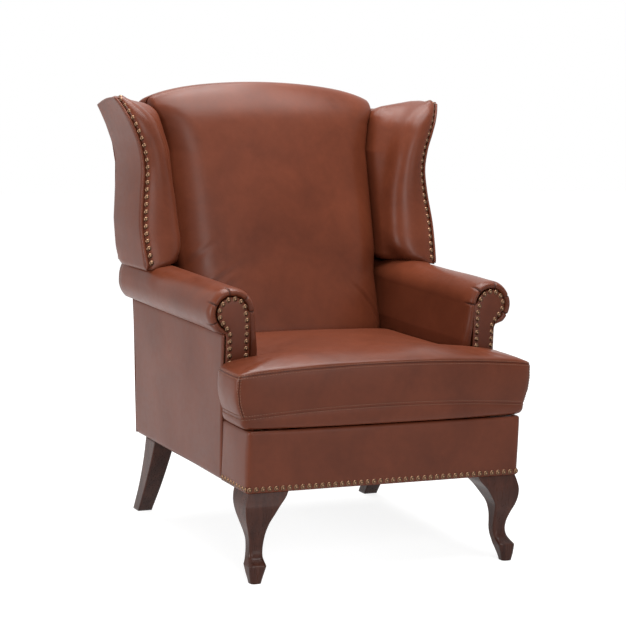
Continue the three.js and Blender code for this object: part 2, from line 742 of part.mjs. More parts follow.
function cushionForm(rowShares, spare) {
  const heartY = earRear * heartShare;
  const grownShare = 1 + spare / earHalf;
  return loft(rowShares.map(([reach, under, boxing, crown], i) => {
    const rise = under * cushionUnder + boxing * cushionBoxing + crown * cushionCrown;
    const z = lowerSeamZ + rise + (i < 2 ? -spare : spare);
    const size = reach * grownShare;
    return cushionOutline().map(([x, y]) => [x * size, heartY + (y - heartY) * size, z]);
  }));
}

const zipHalf = cushionSide * 0.6;
const zipHeight = 10;
const zipMiddle = lowerSeamZ + cushionBoxing / 2;
const zipSlot = block([-zipHalf, zipHalf], grown([cushionRear, cushionRear], overrun),
  grown([zipMiddle, zipMiddle], zipHeight / 2));
const cushionCase = cut(cushionForm(coverShares, 0), [cushionForm(coreShares, gap), zipSlot]);
addPiece("seat_cushion_cover", cushionCase, leather);
addPiece("seat_cushion_core", cushionForm(coreShares, 0), foam);

// Cabriole front legs: square section, knee, slim ankle and turned-out toe. A row is the
// height share, then the inner, outer, front and rear faces as shares of the knee size,
// measured from the side of the seat box and from its front or rear face
const kneeSize = 100;
const frontLegShares = [
  [1, 1, 0.05, 0.03, 0.8], [0.93, 0.91, 0, 0, 0.75], [0.85, 0.76, -0.03, -0.04, 0.66],
  [0.76, 0.66, -0.02, -0.05, 0.55], [0.66, 0.55, 0.02, -0.02, 0.44], [0.55, 0.5, 0.09, 0.05, 0.37],
  [0.45, 0.49, 0.145, 0.1, 0.37], [0.35, 0.48, 0.16, 0.115, 0.4], [0.26, 0.46, 0.14, 0.08, 0.38],
  [0.215, 0.46, 0.08, -0.1, 0.32], [0.19, 0.45, 0.06, -0.17, 0.26], [0.1, 0.4, 0.08, -0.16, 0.17],
  [0, 0.36, 0.11, -0.15, 0.1],
];
const rearLegShares = [
  [1, 0.54, 0.03, -1.22, -0.6], [0.7, 0.5, 0.04, -0.95, -0.43], [0.35, 0.47, 0.065, -0.54, -0.13],
  [0, 0.44, 0.09, -0.09, 0.27],
];
const legCornerShare = 0.12;

function legRing([heightShare, inner, outer, front, rear], side, start) {
  const x = [boxHalf - kneeSize * inner, boxHalf - kneeSize * outer];
  const y = [start + kneeSize * front, start + kneeSize * rear];
  const round = legCornerShare * Math.min(x[1] - x[0], y[1] - y[0]);
  const points = [
    [x[0] + round, y[0]], [x[1] - round, y[0]], [x[1], y[0] + round], [x[1], y[1] - round],
    [x[1] - round, y[1]], [x[0] + round, y[1]], [x[0], y[1] - round], [x[0], y[0] + round],
  ];
  return points.map(([wide, deep]) => [side * wide, deep, legHeight * heightShare]);
}

const legSets = [
  ["front", frontLegShares, 0, frontBoltPlace], ["rear", rearLegShares, baseDepth, rearBoltPlace],
];
for (const [word, side] of sides) {
  for (const [end, shares, start, place] of legSets) {
    const bore = bolt(place, side, boltRadius + gap, [boltZ[0] - gap, boltZ[1]]);
    const form = loft(shares.map((row) => legRing(row, side, start)));
    addPiece(`${end}_leg_${word}`, cut(form, [bore]), stainedWood);
  }
}

// Decorative nail trim: a thin brass band with a domed head at each nail
const bandWidth = 11.6;
const bandThickness = 0.8;
const nailSides = 5;
const nailTopShare = 0.45;
const trimStandOff = 1.5;
const nailTurn = {
  front: (head) => head,
  left: (head) => head.rotateZ(-Math.PI / 2),
  right: (head) => head.rotateZ(Math.PI / 2),
};

function nailHead(place, facing) {
  const head = new THREE.CylinderGeometry(nailRadius * nailTopShare, nailRadius, nailHeight, nailSides);
  head.rotateX(Math.PI).translate(0, -(nailHeight + bandThickness) / 2, 0);
  return nailTurn[facing](head).translate(...place);
}

function joined(pieces) {
  return geometryOf(pieces.map(manifoldOf).reduce((whole, piece) => whole.add(piece)));
}

// Points at one pitch along a line of places
function spaced(places, pitch) {
  const line = new THREE.CurvePath();
  for (let i = 0; i + 1 < places.length; i += 1) {
    line.add(new THREE.LineCurve3(new THREE.Vector3(...places[i]), new THREE.Vector3(...places[i + 1])));
  }
  return line.getSpacedPoints(Math.round(line.getLength() / pitch)).map((p) => p.toArray());
}

// Band in the XZ plane through the places, facing the front
function frontBand(places) {
  return loft(places.map(([x, y, z], i) => {
    const before = places[Math.max(i - 1, 0)];
    const after = places[Math.min(i + 1, places.length - 1)];
    const along = new THREE.Vector2(after[0] - before[0], after[2] - before[2]).normalize();
    const [dx, dz] = [-along.y * bandWidth / 2, along.x * bandWidth / 2];
    return [
      [x - dx, y, z - dz], [x + dx, y, z + dz],
      [x + dx, y - bandThickness, z + dz], [x - dx, y - bandThickness, z - dz],
    ];
  }));
}

function frontTrim(line, pitch) {
  const heads = spaced(line, pitch).map((place) => nailHead(place, "front"));
  return joined([frontBand(line), ...heads]);
}

// Border trim along the bottom of the seat box front and its returns
const returnStartShare = 0.6;
const borderNailZ = boxBottom + nailPitch / 2;
const borderBandZ = [borderNailZ - bandWidth / 2, borderNailZ + bandWidth / 2];
const frontNailLine = [-1, 1].map((end) => [end * (boxHalf - nailRadius), -gap, borderNailZ]);
const frontNails = spaced(frontNailLine, nailPitch);
const borderPieces = [
  block([-boxHalf - gap, boxHalf + gap], [-gap - bandThickness, -gap], borderBandZ),
  ...frontNails.map((place) => nailHead(place, "front")),
];
for (const [word, side] of sides) {
  const reach = [nailPitch * returnStartShare, borderEnd - nailRadius];
  const returnX = side * (boxHalf + gap);
  const nails = spaced([[returnX, reach[0], borderNailZ], [returnX, reach[1], borderNailZ]], nailPitch);
  const x = across(side, boxHalf + gap, boxHalf + gap + bandThickness);
  borderPieces.push(block(x, [-gap - bandThickness, reach[1]], borderBandZ));
  borderPieces.push(...nails.map((place) => nailHead(place, word)));
}
addPiece("front_border_nail_trim", joined(borderPieces), antiqueBrass);

// Arm and wing trims
const armNailRadius = 30;
const armNailFoot = boxTop + nailPitch;
const armNailInner = 28;
const armNailOuter = 8.5;
const wingNailFootShare = 0.01;
const wingNailTopShare = 0.985;
const wingNailPitch = 16.8;
for (const [word, side] of sides) {
  const outline = armOutline(armInner + armNailInner, armNailRadius,
    [boxHalf - armNailOuter, boxHalf - armNailOuter], armNailFoot, 0);
  const armLine = outline.map(([x, z]) => [side * x, facingY[0] - gap, z]);
  addPiece(`arm_nail_trim_${word}`, frontTrim(armLine, nailPitch), antiqueBrass);
  const limits = [wingBottom + wingHeight * wingNailFootShare, wingBottom + wingHeight * wingNailTopShare];
  const inside = wingStations.map(({ z }) => z).filter((z) => z > limits[0] && z < limits[1]);
  const wingLine = [limits[0], ...inside, limits[1]].map((z) => [
    side * (edgeAt(z, "edgeX") - nailLineInset), edgeAt(z, "edgeY") - wingBulge * 0.3 - trimStandOff, z,
  ]);
  const padSpace = wingPad(side).translate(0, -gap, 0);
  addPiece(`wing_nail_trim_${word}`, cut(frontTrim(wingLine, wingNailPitch), [padSpace]), antiqueBrass);
}

// The origin is under the middle of the chair, on the floor
const reach = new THREE.Box3().setFromObject(chair);
chair.position.set(0, -(reach.min.y + reach.max.y) / 2, 0);

export default chair;
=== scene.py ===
import math
import bmesh
import bpy
import numpy as np
from mathutils import Matrix, Vector, noise
from mathutils.bvhtree import BVHTree
from mathutils.kdtree import KDTree


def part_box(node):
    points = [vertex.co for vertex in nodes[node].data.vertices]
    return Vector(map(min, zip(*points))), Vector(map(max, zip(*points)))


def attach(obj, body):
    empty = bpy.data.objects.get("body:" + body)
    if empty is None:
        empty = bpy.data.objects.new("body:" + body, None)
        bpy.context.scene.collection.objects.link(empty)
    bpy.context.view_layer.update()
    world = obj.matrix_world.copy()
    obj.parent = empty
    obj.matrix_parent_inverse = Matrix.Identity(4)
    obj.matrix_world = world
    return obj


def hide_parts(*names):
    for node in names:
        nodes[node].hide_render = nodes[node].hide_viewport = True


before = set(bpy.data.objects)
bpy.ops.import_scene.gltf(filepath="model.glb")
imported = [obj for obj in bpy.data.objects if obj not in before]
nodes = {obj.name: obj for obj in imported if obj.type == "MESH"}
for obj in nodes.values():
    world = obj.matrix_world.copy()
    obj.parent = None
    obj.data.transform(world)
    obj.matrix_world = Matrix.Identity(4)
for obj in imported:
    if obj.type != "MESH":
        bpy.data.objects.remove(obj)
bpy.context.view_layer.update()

# The chair stands on a seamless white floor in even studio light. Depths are measured
# from the front of the seat box, widths from the middle of the chair, both in metres.
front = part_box("front_border_cover")[0].y
sides = (("left", -1), ("right", 1))


def at(x, y, z):
    return Vector((x, front + y, z))


def in_scene(name, data):
    """A new object, linked to the scene."""
    made = bpy.data.objects.new(name, data)
    bpy.context.scene.collection.objects.link(made)
    return made


def mesh_of(name, bm):
    mesh = bpy.data.meshes.new(name)
    bm.to_mesh(mesh)
    bm.free()
    return mesh


view_turn, view_dip, view_roll = (math.radians(angle) for angle in (25.706, 8.396, 2.1206))
camera = in_scene("camera", bpy.data.cameras.new("camera"))
camera.data.lens = 118.67
camera.data.sensor_width = 36
camera.data.shift_x = 0.0017
camera.data.clip_end = 60
turns = [(-view_turn, "Z"), (math.pi / 2 - view_dip, "X"), (view_roll, "Z")]
camera.matrix_world = Matrix.Translation(at(-2.0524, -3.8595, 1.2057))
for angle, axis in turns:
    camera.matrix_world = camera.matrix_world @ Matrix.Rotation(angle, 4, axis)
bpy.context.scene.camera = camera
bpy.context.scene.view_settings.view_transform = "Standard"


def join(tree, value, socket):
    """Links a node's output to a socket, or sets the socket to a plain value."""
    if isinstance(value, bpy.types.NodeSocket):
        tree.links.new(value, socket)
    else:
        socket.default_value = value


def node(tree, kind, inputs=None, **settings):
    """A new node with its settings and its inputs, which are named or numbered."""
    made = tree.nodes.new(kind)
    for name, value in settings.items():
        setattr(made, name, value)
    for name, value in (inputs or {}).items():
        join(tree, value, made.inputs[name])
    return made


def shown_to_eye(tree):
    """1 for rays that show a background: camera, glossy and transmission rays."""
    path = node(tree, "ShaderNodeLightPath")
    seen = node(tree, "ShaderNodeMath", {0: path.outputs["Is Camera Ray"], 1: path.outputs["Is Glossy Ray"]},
                operation="MAXIMUM")
    return node(tree, "ShaderNodeMath", {0: seen.outputs[0], 1: path.outputs["Is Transmission Ray"]},
                operation="MAXIMUM").outputs[0]


world = bpy.data.worlds.new("studio")
bpy.context.scene.world = world
world.use_nodes = True
tree = world.node_tree
tree.nodes.clear()
seen = node(tree, "ShaderNodeBackground", {"Color": (1, 1, 1, 1), "Strength": 1})
unseen = node(tree, "ShaderNodeBackground", {"Color": (1, 1, 1, 1), "Strength": 0.055})
sky = node(tree, "ShaderNodeMixShader", {0: shown_to_eye(tree), 1: unseen.outputs[0], 2: seen.outputs[0]})
node(tree, "ShaderNodeOutputWorld", {"Surface": sky.outputs[0]})


def softbox(name, place, aim, width, height, power):
    lamp = in_scene(name, bpy.data.lights.new(name, "AREA"))
    lamp.data.shape = "RECTANGLE"
    lamp.data.size = width
    lamp.data.size_y = height
    lamp.data.energy = power
    lamp.location = place
    lamp.rotation_mode = "QUATERNION"
    lamp.rotation_quaternion = (aim - place).to_track_quat("-Z", "Y")


chest = at(0, 0.4, 0.6)
softbox("key", at(-0.9, -2.7, 1.9), chest, 1.1, 1.5, 42)
softbox("side", at(-2.6, 0.35, 0.85), chest, 0.8, 1.2, 43)
softbox("fill", at(0.9, -3.0, 0.9), chest, 1.3, 1.4, 18)
softbox("top", at(0.15, 0.15, 2.7), chest, 1.7, 1.8, 98)
softbox("rear", at(0, 1.3, 2.6), chest, 1.4, 1.4, 36)

# The floor is matt paper. To the eye it glows to plain white with distance from the chair
# and keeps the chair's shadow.
floor_half = 8.0
shadow_reach, white_reach, least_glow = 0.7, 2.2, 0.86
floor = bmesh.new()
bmesh.ops.create_grid(floor, x_segments=1, y_segments=1, size=floor_half)
floor_object = in_scene("floor", mesh_of("floor", floor))
paper = bpy.data.materials.new("white_paper")
paper.use_nodes = True
tree = paper.node_tree
tree.nodes.clear()
matt = node(tree, "ShaderNodeBsdfDiffuse", {"Color": (0.82, 0.82, 0.82, 1)})
pale = node(tree, "ShaderNodeBsdfDiffuse", {"Color": (0.34, 0.34, 0.34, 1)})
floor_place = node(tree, "ShaderNodeTexCoord").outputs["Object"]
far = node(tree, "ShaderNodeVectorMath", {0: floor_place}, operation="LENGTH").outputs["Value"]
far = node(tree, "ShaderNodeMapRange", {
    "Value": far, 1: shadow_reach, 2: white_reach, 3: least_glow, 4: 1.0}).outputs[0]
glow = node(tree, "ShaderNodeEmission", {"Color": (1, 1, 1, 1), "Strength": far})
lit = node(tree, "ShaderNodeAddShader", {0: pale.outputs[0], 1: glow.outputs[0]})
both = node(tree, "ShaderNodeMixShader", {0: shown_to_eye(tree), 1: matt.outputs[0], 2: lit.outputs[0]})
node(tree, "ShaderNodeOutputMaterial", {"Surface": both.outputs[0]})
floor_object.data.materials.append(paper)


# Hardwood frame: sawn rails, stiles, posts and corner blocks, glued and dowelled. The
# pale wood shows its growth in long streaks along the grain.
COLOUR, NUMBER, DIRECTION = "NodeSocketColor", "NodeSocketFloat", "NodeSocketVector"


def group(name, **inputs):
    """A node group and its inputs, each a (kind, value). It gives colour, roughness, height."""
    tree = bpy.data.node_groups.new(name, "ShaderNodeTree")
    for title, (kind, value) in inputs.items():
        socket = tree.interface.new_socket(title, in_out="INPUT", socket_type=kind)
        socket.default_value = value
    for title, kind in (("Color", COLOUR), ("Roughness", NUMBER), ("Height", NUMBER)):
        tree.interface.new_socket(title, in_out="OUTPUT", socket_type=kind)
    return tree, tree.nodes.new("NodeGroupInput").outputs


def gives(tree, colour, roughness, height):
    """Joins the three outputs of a group."""
    node(tree, "NodeGroupOutput", {"Color": colour, "Roughness": roughness, "Height": height})


def object_place(tree, scale=(1, 1, 1)):
    coordinates = node(tree, "ShaderNodeTexCoord")
    mapping = node(tree, "ShaderNodeMapping", {"Vector": coordinates.outputs["Object"], "Scale": scale})
    return mapping.outputs[0]


def spots(tree, place, scale, detail=2.0, rough=0.5, twist=0.0):
    inputs = {"Vector": place, "Scale": scale, "Detail": detail, "Roughness": rough, "Distortion": twist}
    return node(tree, "ShaderNodeTexNoise", inputs).outputs["Fac"]


def spread(tree, value, low, high, to_low=0.0, to_high=1.0):
    inputs = {"Value": value, 1: low, 2: high, 3: to_low, 4: to_high}
    return node(tree, "ShaderNodeMapRange", inputs).outputs[0]


def blended(tree, share, first, second):
    mixed = node(tree, "ShaderNodeMix", {0: share, 6: first, 7: second}, data_type="RGBA")
    return mixed.outputs[2]


def arithmetic(tree, operation, first, second):
    return node(tree, "ShaderNodeMath", {0: first, 1: second}, operation=operation).outputs[0]


wood_tree, wood_in = group("wood_grain", Dark=(COLOUR, (0, 0, 0, 1)), Light=(COLOUR, (1, 1, 1, 1)),
                           Stretch=(DIRECTION, (40, 40, 3)))
wood_place = node(wood_tree, "ShaderNodeVectorMath", {
    0: object_place(wood_tree), 1: wood_in["Stretch"]}, operation="MULTIPLY").outputs[0]
streaks = spots(wood_tree, wood_place, 1.0, 5.0, 0.6, 0.6)
pores = spots(wood_tree, wood_place, 9.0, 2.0)
wood_tone = spread(wood_tree, streaks, 0.3, 0.72)
gives(wood_tree, blended(wood_tree, wood_tone, wood_in["Dark"], wood_in["Light"]),
      spread(wood_tree, pores, 0.3, 0.7, 0.24, 0.4), arithmetic(wood_tree, "ADD", streaks, pores))


def finish_of(name, group_tree, inputs, bump, depth, **shader):
    """Material whose colour, roughness and relief come from a group."""
    made = bpy.data.materials.new(name)
    made.use_nodes = True
    tree = made.node_tree
    tree.nodes.clear()
    pattern = node(tree, "ShaderNodeGroup", node_tree=group_tree)
    for title, value in inputs.items():
        join(tree, value, pattern.inputs[title])
    relief = node(tree, "ShaderNodeBump", {
        "Height": pattern.outputs["Height"], "Strength": bump, "Distance": depth})
    values = {"Base Color": pattern.outputs["Color"], "Roughness": pattern.outputs["Roughness"],
              "Normal": relief.outputs[0]}
    values.update(shader)
    surface = node(tree, "ShaderNodeBsdfPrincipled", values)
    node(tree, "ShaderNodeOutputMaterial", {"Surface": surface.outputs[0]})
    return made


sawn_wood = finish_of("sawn_hardwood", wood_tree, {
    "Dark": (0.36, 0.22, 0.11, 1), "Light": (0.62, 0.44, 0.26, 1), "Stretch": (3, 40, 40)}, 0.3, 0.0006)
upright_wood = finish_of("upright_hardwood", wood_tree, {
    "Dark": (0.34, 0.2, 0.1, 1), "Light": (0.6, 0.42, 0.25, 1), "Stretch": (40, 40, 3)}, 0.3, 0.0006)


def dress(name, finish):
    mesh = nodes[name].data
    mesh.materials.clear()
    mesh.materials.append(finish)


for name in nodes:
    if any(word in name for word in ("stile", "post")):
        dress(name, upright_wood)
    elif any(word in name for word in ("rail", "block", "arm_board")):
        dress(name, sawn_wood)

# Zigzag springs and leg bolts: drawn steel wire and bright plated bolts, with the fine
# lines that drawing and turning leave.
steel_tree, steel_in = group("drawn_steel", Tone=(COLOUR, (0.5, 0.5, 0.5, 1)))
drawn_lines = spots(steel_tree, object_place(steel_tree, (300, 300, 900)), 1.0, 2.0)
dull = blended(steel_tree, spread(steel_tree, drawn_lines, 0.3, 0.7, 0.75, 1), (0.12, 0.12, 0.12, 1),
               steel_in["Tone"])
gives(steel_tree, dull, spread(steel_tree, drawn_lines, 0.3, 0.7, 0.28, 0.46), drawn_lines)
steel = finish_of("spring_steel", steel_tree, {"Tone": (0.46, 0.47, 0.48, 1)}, 0.2, 0.0002, Metallic=1.0)
for name in nodes:
    if "spring" in name or "bolt" in name:
        dress(name, steel)


# Front legs: cabriole legs bandsawn square from stained hardwood. The knee stands proud
# of the box corner, the ankle is slim and the toe turns out over a small round pad.
def clamped(value):
    """The value, kept from 0 to 1."""
    return min(max(value, 0), 1)


def eased(stops, place):
    """Smooth value at a place along stops, which are (place, value) pairs in order."""
    places = [stop for stop, _ in stops]
    values = [np.asarray(value, float) for _, value in stops]
    k = min(max(int(np.searchsorted(places, place)) - 1, 0), len(stops) - 2)
    span = places[k + 1] - places[k]
    share = clamped((place - places[k]) / span)
    slopes = []
    for i in (k, k + 1):
        low, high = max(i - 1, 0), min(i + 1, len(stops) - 1)
        slopes.append((values[high] - values[low]) / (places[high] - places[low]) * span)
    square, cube = share ** 2, share ** 3
    return ((2 * cube - 3 * square + 1) * values[k] + (cube - 2 * square + share) * slopes[0]
            + (3 * square - 2 * cube) * values[k + 1] + (cube - square) * slopes[1])


def finished(bm, name, material, body="root", stands_for=()):
    """Makes the mesh a smooth object at the origin with its finish, fixed to a body, and hides the CAD parts
    it stands for.
    """
    mesh = mesh_of(name, bm)
    mesh.polygons.foreach_set("use_smooth", [True] * len(mesh.polygons))
    mesh.materials.append(material)
    made = in_scene(name, mesh)
    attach(made, body)
    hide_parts(*stands_for)
    return made


def drawn(around, along, place, capped=True):
    """A grid of quads with corner (s, t) at place(s, t), closed where its edges meet."""
    bm = bmesh.new()
    bm.loops.layers.uv.new("hide")
    bmesh.ops.create_grid(bm, x_segments=around, y_segments=along, size=0.5, calc_uvs=True)
    for corner in bm.verts:
        corner.co = place(corner.co.x + 0.5, corner.co.y + 0.5)
    bmesh.ops.remove_doubles(bm, verts=bm.verts, dist=0.00002)
    if capped:
        bmesh.ops.holes_fill(bm, edges=[edge for edge in bm.edges if edge.is_boundary], sides=0)
        bmesh.ops.recalc_face_normals(bm, faces=bm.faces)
    return bm


def round_square(share, low, high, corner):
    """Point at a share of the way round a rectangle with round corners, as (x, y)."""
    side, along = divmod(share * 4 % 4, 1)
    half = [(high[0] - low[0]) / 2, (high[1] - low[1]) / 2]
    if side % 2:
        half.reverse()
    if along < 0.7:
        x, y = (half[0] - corner) * (along / 0.35 - 1), -half[1]
    else:
        turn = (along - 0.7) / 0.3 * math.pi / 2
        x, y = half[0] - corner + corner * math.sin(turn), -half[1] + corner - corner * math.cos(turn)
    for _ in range(int(side)):
        x, y = -y, x
    return x + (high[0] + low[0]) / 2, y + (high[1] + low[1]) / 2


box_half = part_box("front_border_cover")[1].x
box_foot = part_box("front_border_cover")[0].z
leg_top = box_foot - 0.0003

# Each row: height, then inner and outer side inwards from the box, near and far side, corner.
front_leg_stops = [
    (0.0, (0.036, 0.011, -0.014, 0.01, 0.0085)), (0.008, (0.0375, 0.0095, -0.0155, 0.0125, 0.0088)),
    (0.0195, (0.0405, 0.0075, -0.0165, 0.018, 0.0088)), (0.036, (0.0455, 0.006, -0.017, 0.0265, 0.0085)),
    (0.0375, (0.0457, 0.0063, -0.0168, 0.0272, 0.0085)), (0.0395, (0.046, 0.0073, -0.014, 0.0282, 0.0085)),
    (0.045, (0.0463, 0.0103, -0.0035, 0.032, 0.0085)), (0.053, (0.0468, 0.0138, 0.0063, 0.0375, 0.008)),
    (0.068, (0.048, 0.016, 0.0115, 0.04, 0.0065)), (0.087, (0.049, 0.0145, 0.01, 0.0385, 0.005)),
    (0.106, (0.0505, 0.009, 0.005, 0.0385, 0.0038)), (0.1275, (0.055, 0.0015, -0.0025, 0.044, 0.0028)),
    (0.1465, (0.0655, -0.0025, -0.0055, 0.055, 0.0022)), (0.164, (0.077, -0.003, -0.005, 0.066, 0.002)),
    (0.18, (0.091, 0.0005, -0.0008, 0.075, 0.002)), (leg_top, (0.0985, 0.005, 0.003, 0.08, 0.002)),
]
stain = finish_of("stained_leg_wood", wood_tree, {
    "Dark": (0.024, 0.0072, 0.0045, 1), "Light": (0.06, 0.02, 0.0125, 1), "Stretch": (45, 45, 4)},
    0.08, 0.0003, **{"Specular IOR Level": 0.13, "Coat Weight": 0.05, "Coat Roughness": 0.1})


def leg(name, side, stops, start, rows):
    def place(s, t):
        z = leg_top * t
        inner, outer, near, far, corner = eased(stops, z)
        low, high = (box_half - inner, start + near), (box_half - outer, start + far)
        x, y = round_square(s, low, high, min(corner, (high[0] - low[0]) / 2.1, (high[1] - low[1]) / 2.1))
        return at(side * x, y, z)

    replaced = [name.replace("shown_", "")]
    finished(drawn(96, rows, place), name, stain, stands_for=replaced)


for word, side in sides:
    leg(f"shown_front_leg_{word}", side, front_leg_stops, 0.0, 150)

# Rear legs: square, tapered and raked back in a slight curve from the rear rail.
rear_leg_stops = [
    (0.0, (0.044, 0.0085, -0.009, 0.027, 0.003)), (0.0675, (0.0475, 0.006, -0.054, -0.0135, 0.003)),
    (0.135, (0.0505, 0.004, -0.094, -0.0435, 0.003)), (leg_top, (0.054, 0.003, -0.122, -0.06, 0.003)),
]
base_depth = 0.663
for word, side in sides:
    leg(f"shown_rear_leg_{word}", side, rear_leg_stops, base_depth, 40)

# Seat deck: a fibre pad over the springs, a woven deck cloth under the cushion, elastic
# webs in the back, and a thin black dust cover stapled under the rails.
cloth_tree, cloth_in = group("plain_weave", Thread=(COLOUR, (0.1, 0.1, 0.1, 1)), Gap=(COLOUR, (0, 0, 0, 1)),
                             Count=(NUMBER, 900.0))
weave_place = node(cloth_tree, "ShaderNodeVectorMath", {
    0: object_place(cloth_tree), "Scale": cloth_in["Count"]}, operation="SCALE").outputs[0]
axes = node(cloth_tree, "ShaderNodeSeparateXYZ", {0: weave_place})
waves = [arithmetic(cloth_tree, "SINE", axes.outputs[i], 0.0) for i in range(3)]
crossing = arithmetic(cloth_tree, "MULTIPLY", waves[0], arithmetic(cloth_tree, "ADD", waves[1], waves[2]))
raised = spread(cloth_tree, crossing, -1.0, 1.0)
gives(cloth_tree, blended(cloth_tree, raised, cloth_in["Gap"], cloth_in["Thread"]),
      spread(cloth_tree, raised, 0.0, 1.0, 0.95, 0.8), raised)
dark_cloth = finish_of("dark_cloth", cloth_tree, {
    "Thread": (0.03, 0.027, 0.025, 1), "Gap": (0.01, 0.009, 0.008, 1), "Count": 1400.0}, 0.4, 0.0003)
foam_tree, foam_in = group("open_foam", Tone=(COLOUR, (0.8, 0.74, 0.55, 1)))
cells = spots(foam_tree, object_place(foam_tree), 420.0, 3.0)
foam_tone = spread(foam_tree, cells, 0.35, 0.65)
gives(foam_tree, blended(foam_tree, foam_tone, (0.5, 0.42, 0.26, 1), foam_in["Tone"]),
      spread(foam_tree, cells, 0.3, 0.7, 0.85, 0.98), cells)
foam = finish_of("foam", foam_tree, {"Tone": (0.78, 0.7, 0.5, 1)}, 0.5, 0.0006)


def soft_slab(name, replaced, material, rounding, crown):
    """A pad the size of a CAD block, with soft edges and a crowned top."""
    low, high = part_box(replaced)
    bm = bmesh.new()
    bmesh.ops.create_cube(bm, size=1.0)
    bmesh.ops.scale(bm, vec=high - low, verts=bm.verts)
    bmesh.ops.translate(bm, vec=(high + low) / 2, verts=bm.verts)
    bmesh.ops.bevel(bm, geom=list(bm.edges), offset=rounding, segments=2, profile=0.5, affect="EDGES",
                    material=-1)
    lid = [edge for edge in bm.edges if edge.calc_length() > 0.1]
    bmesh.ops.subdivide_edges(bm, edges=lid, cuts=24, use_grid_fill=True)
    middle, half = (high + low) / 2, (high - low) / 2
    for corner in bm.verts:
        x, y = (corner.co.x - middle.x) / half.x, (corner.co.y - middle.y) / half.y
        hollow = (1 - x ** 4) * (1 - y ** 4)
        corner.co.z += crown * hollow + 0.0006 * noise.noise(corner.co * 14)
    return finished(bm, name, material, stands_for=[replaced])


deck_pad = soft_slab("fibre_deck_pad", "seat_deck_pad", foam, 0.003, -0.0006)
soft_slab("woven_deck_cloth", "seat_deck_cloth", dark_cloth, 0.001, -0.001)
for name in ("back_web_left", "back_web_right", "dust_cover"):
    dress(name, dark_cloth)

# Leather: smooth brown hides with a fine grain, cloudy in tone. The attribute named crease is 1 in the
# bottom of a fold;
# there the hide's colour is darkened with painted shade, and the hide is also rougher and sunk in the bump.
# Seams get cords of painted shadow further on.
hide_tree, hide_in = group("smooth_hide", Deep=(COLOUR, (0.1, 0.03, 0.015, 1)),
                           Bright=(COLOUR, (0.2, 0.07, 0.04, 1)), Wrinkles=(NUMBER, 0.3))
hide_place = object_place(hide_tree)
clouds = spots(hide_tree, hide_place, 9.0, 5.0, 0.6, 0.4)
freckles = spots(hide_tree, hide_place, 70.0, 3.0, 0.6)
tone = arithmetic(hide_tree, "ADD", arithmetic(hide_tree, "MULTIPLY", clouds, 0.8),
                  arithmetic(hide_tree, "MULTIPLY", freckles, 0.2))
crease = node(hide_tree, "ShaderNodeAttribute", attribute_name="crease").outputs["Fac"]
hide_colour = blended(hide_tree, spread(hide_tree, tone, 0.26, 0.74), hide_in["Deep"], hide_in["Bright"])
# Painted shade: the bottoms of folds are blended towards near black in the colour.
painted_fold_shade = arithmetic(hide_tree, "MULTIPLY", crease, 0.85)
hide_colour = blended(hide_tree, painted_fold_shade, hide_colour, (0.012, 0.004, 0.003, 1))
gloss = arithmetic(hide_tree, "ADD", spread(hide_tree, freckles, 0.3, 0.7, 0.3, 0.37),
                   arithmetic(hide_tree, "MULTIPLY", crease, 0.3))
grain = node(hide_tree, "ShaderNodeTexVoronoi", {"Vector": hide_place, "Scale": 540.0}).outputs["Distance"]
wrinkle_place = object_place(hide_tree, (1, 1, 0.55))
wrinkled = spots(hide_tree, wrinkle_place, 26.0, 4.0, 0.6, 1.2)
ridges = arithmetic(hide_tree, "ABSOLUTE", arithmetic(hide_tree, "SUBTRACT", wrinkled, 0.5), 0.0)
ridges = spread(hide_tree, ridges, 0.0, 0.09)
relief = arithmetic(hide_tree, "ADD", arithmetic(hide_tree, "MULTIPLY", grain, -0.16),
                    arithmetic(hide_tree, "MULTIPLY", ridges, hide_in["Wrinkles"]))
gives(hide_tree, hide_colour, gloss,
      arithmetic(hide_tree, "SUBTRACT", relief, arithmetic(hide_tree, "MULTIPLY", crease, 0.6)))
deep_brown, bright_brown = (0.07, 0.0165, 0.0072, 1), (0.116, 0.0285, 0.0125, 1)
hide = finish_of("brown_hide", hide_tree, {"Deep": deep_brown, "Bright": bright_brown, "Wrinkles": 0.07},
                 0.22, 0.0004, **{"Specular IOR Level": 0.15})


def written(made, name, values):
    """Gives each vertex a value for the material to read."""
    made.data.attributes.new(name, "FLOAT", "POINT").data.foreach_set("value", values)


def softness(place, amount, scale):
    """A gentle unevenness, the same on every run."""
    return amount * noise.noise(place * scale)


def hump(share):
    """0 at both ends and 1 in the middle, round like a wave."""
    return math.sin(math.pi * share)


# Seat box border: leather pulled round the front of the box and a little way back on
# each side, over thin padding, and folded over the top edge of the rails.
box_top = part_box("front_border_cover")[1].z
return_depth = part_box("front_border_cover")[1].y - front
corner_round = 0.009
border_puff = 0.0022


def border_line(share):
    """Place and outward direction along the wrap, from the left return to the right."""
    straight = return_depth - corner_round
    width = 2 * (box_half - corner_round)
    arc = corner_round * math.pi / 2
    whole = 2 * straight + 2 * arc + width
    side = -1 if share < 0.5 else 1
    length = min(share, 1 - share) * whole
    if length < straight:
        return (side * box_half, return_depth - length), (side, 0), length / straight
    length -= straight
    if length < arc:
        turn = length / corner_round
        out = (side * math.cos(turn), -math.sin(turn))
        middle = side * (box_half - corner_round)
        return (middle + corner_round * out[0], corner_round * (1 + out[1])), out, 0
    length -= arc
    return (side * (box_half - corner_round - length), 0), (0, -1), length / width


def border_place(s, t):
    (x, y), out, share = border_line(s)
    up, turned, folded_in = min(t / 0.9, 1), max(t - 0.84, 0) / 0.16, max(t - 0.9, 0) / 0.1
    height = box_foot + (box_top - box_foot) * up - 0.0015 * turned
    puff = border_puff * hump(up) ** 0.6 * hump(share) ** 0.4
    offset = puff - 0.006 * (1 - math.cos(turned * math.pi / 2)) - 0.012 * folded_in
    place = at(x + out[0] * offset, y + out[1] * offset, height)
    return place + Vector((out[0], out[1], 0)) * softness(place, 0.0012, 11)


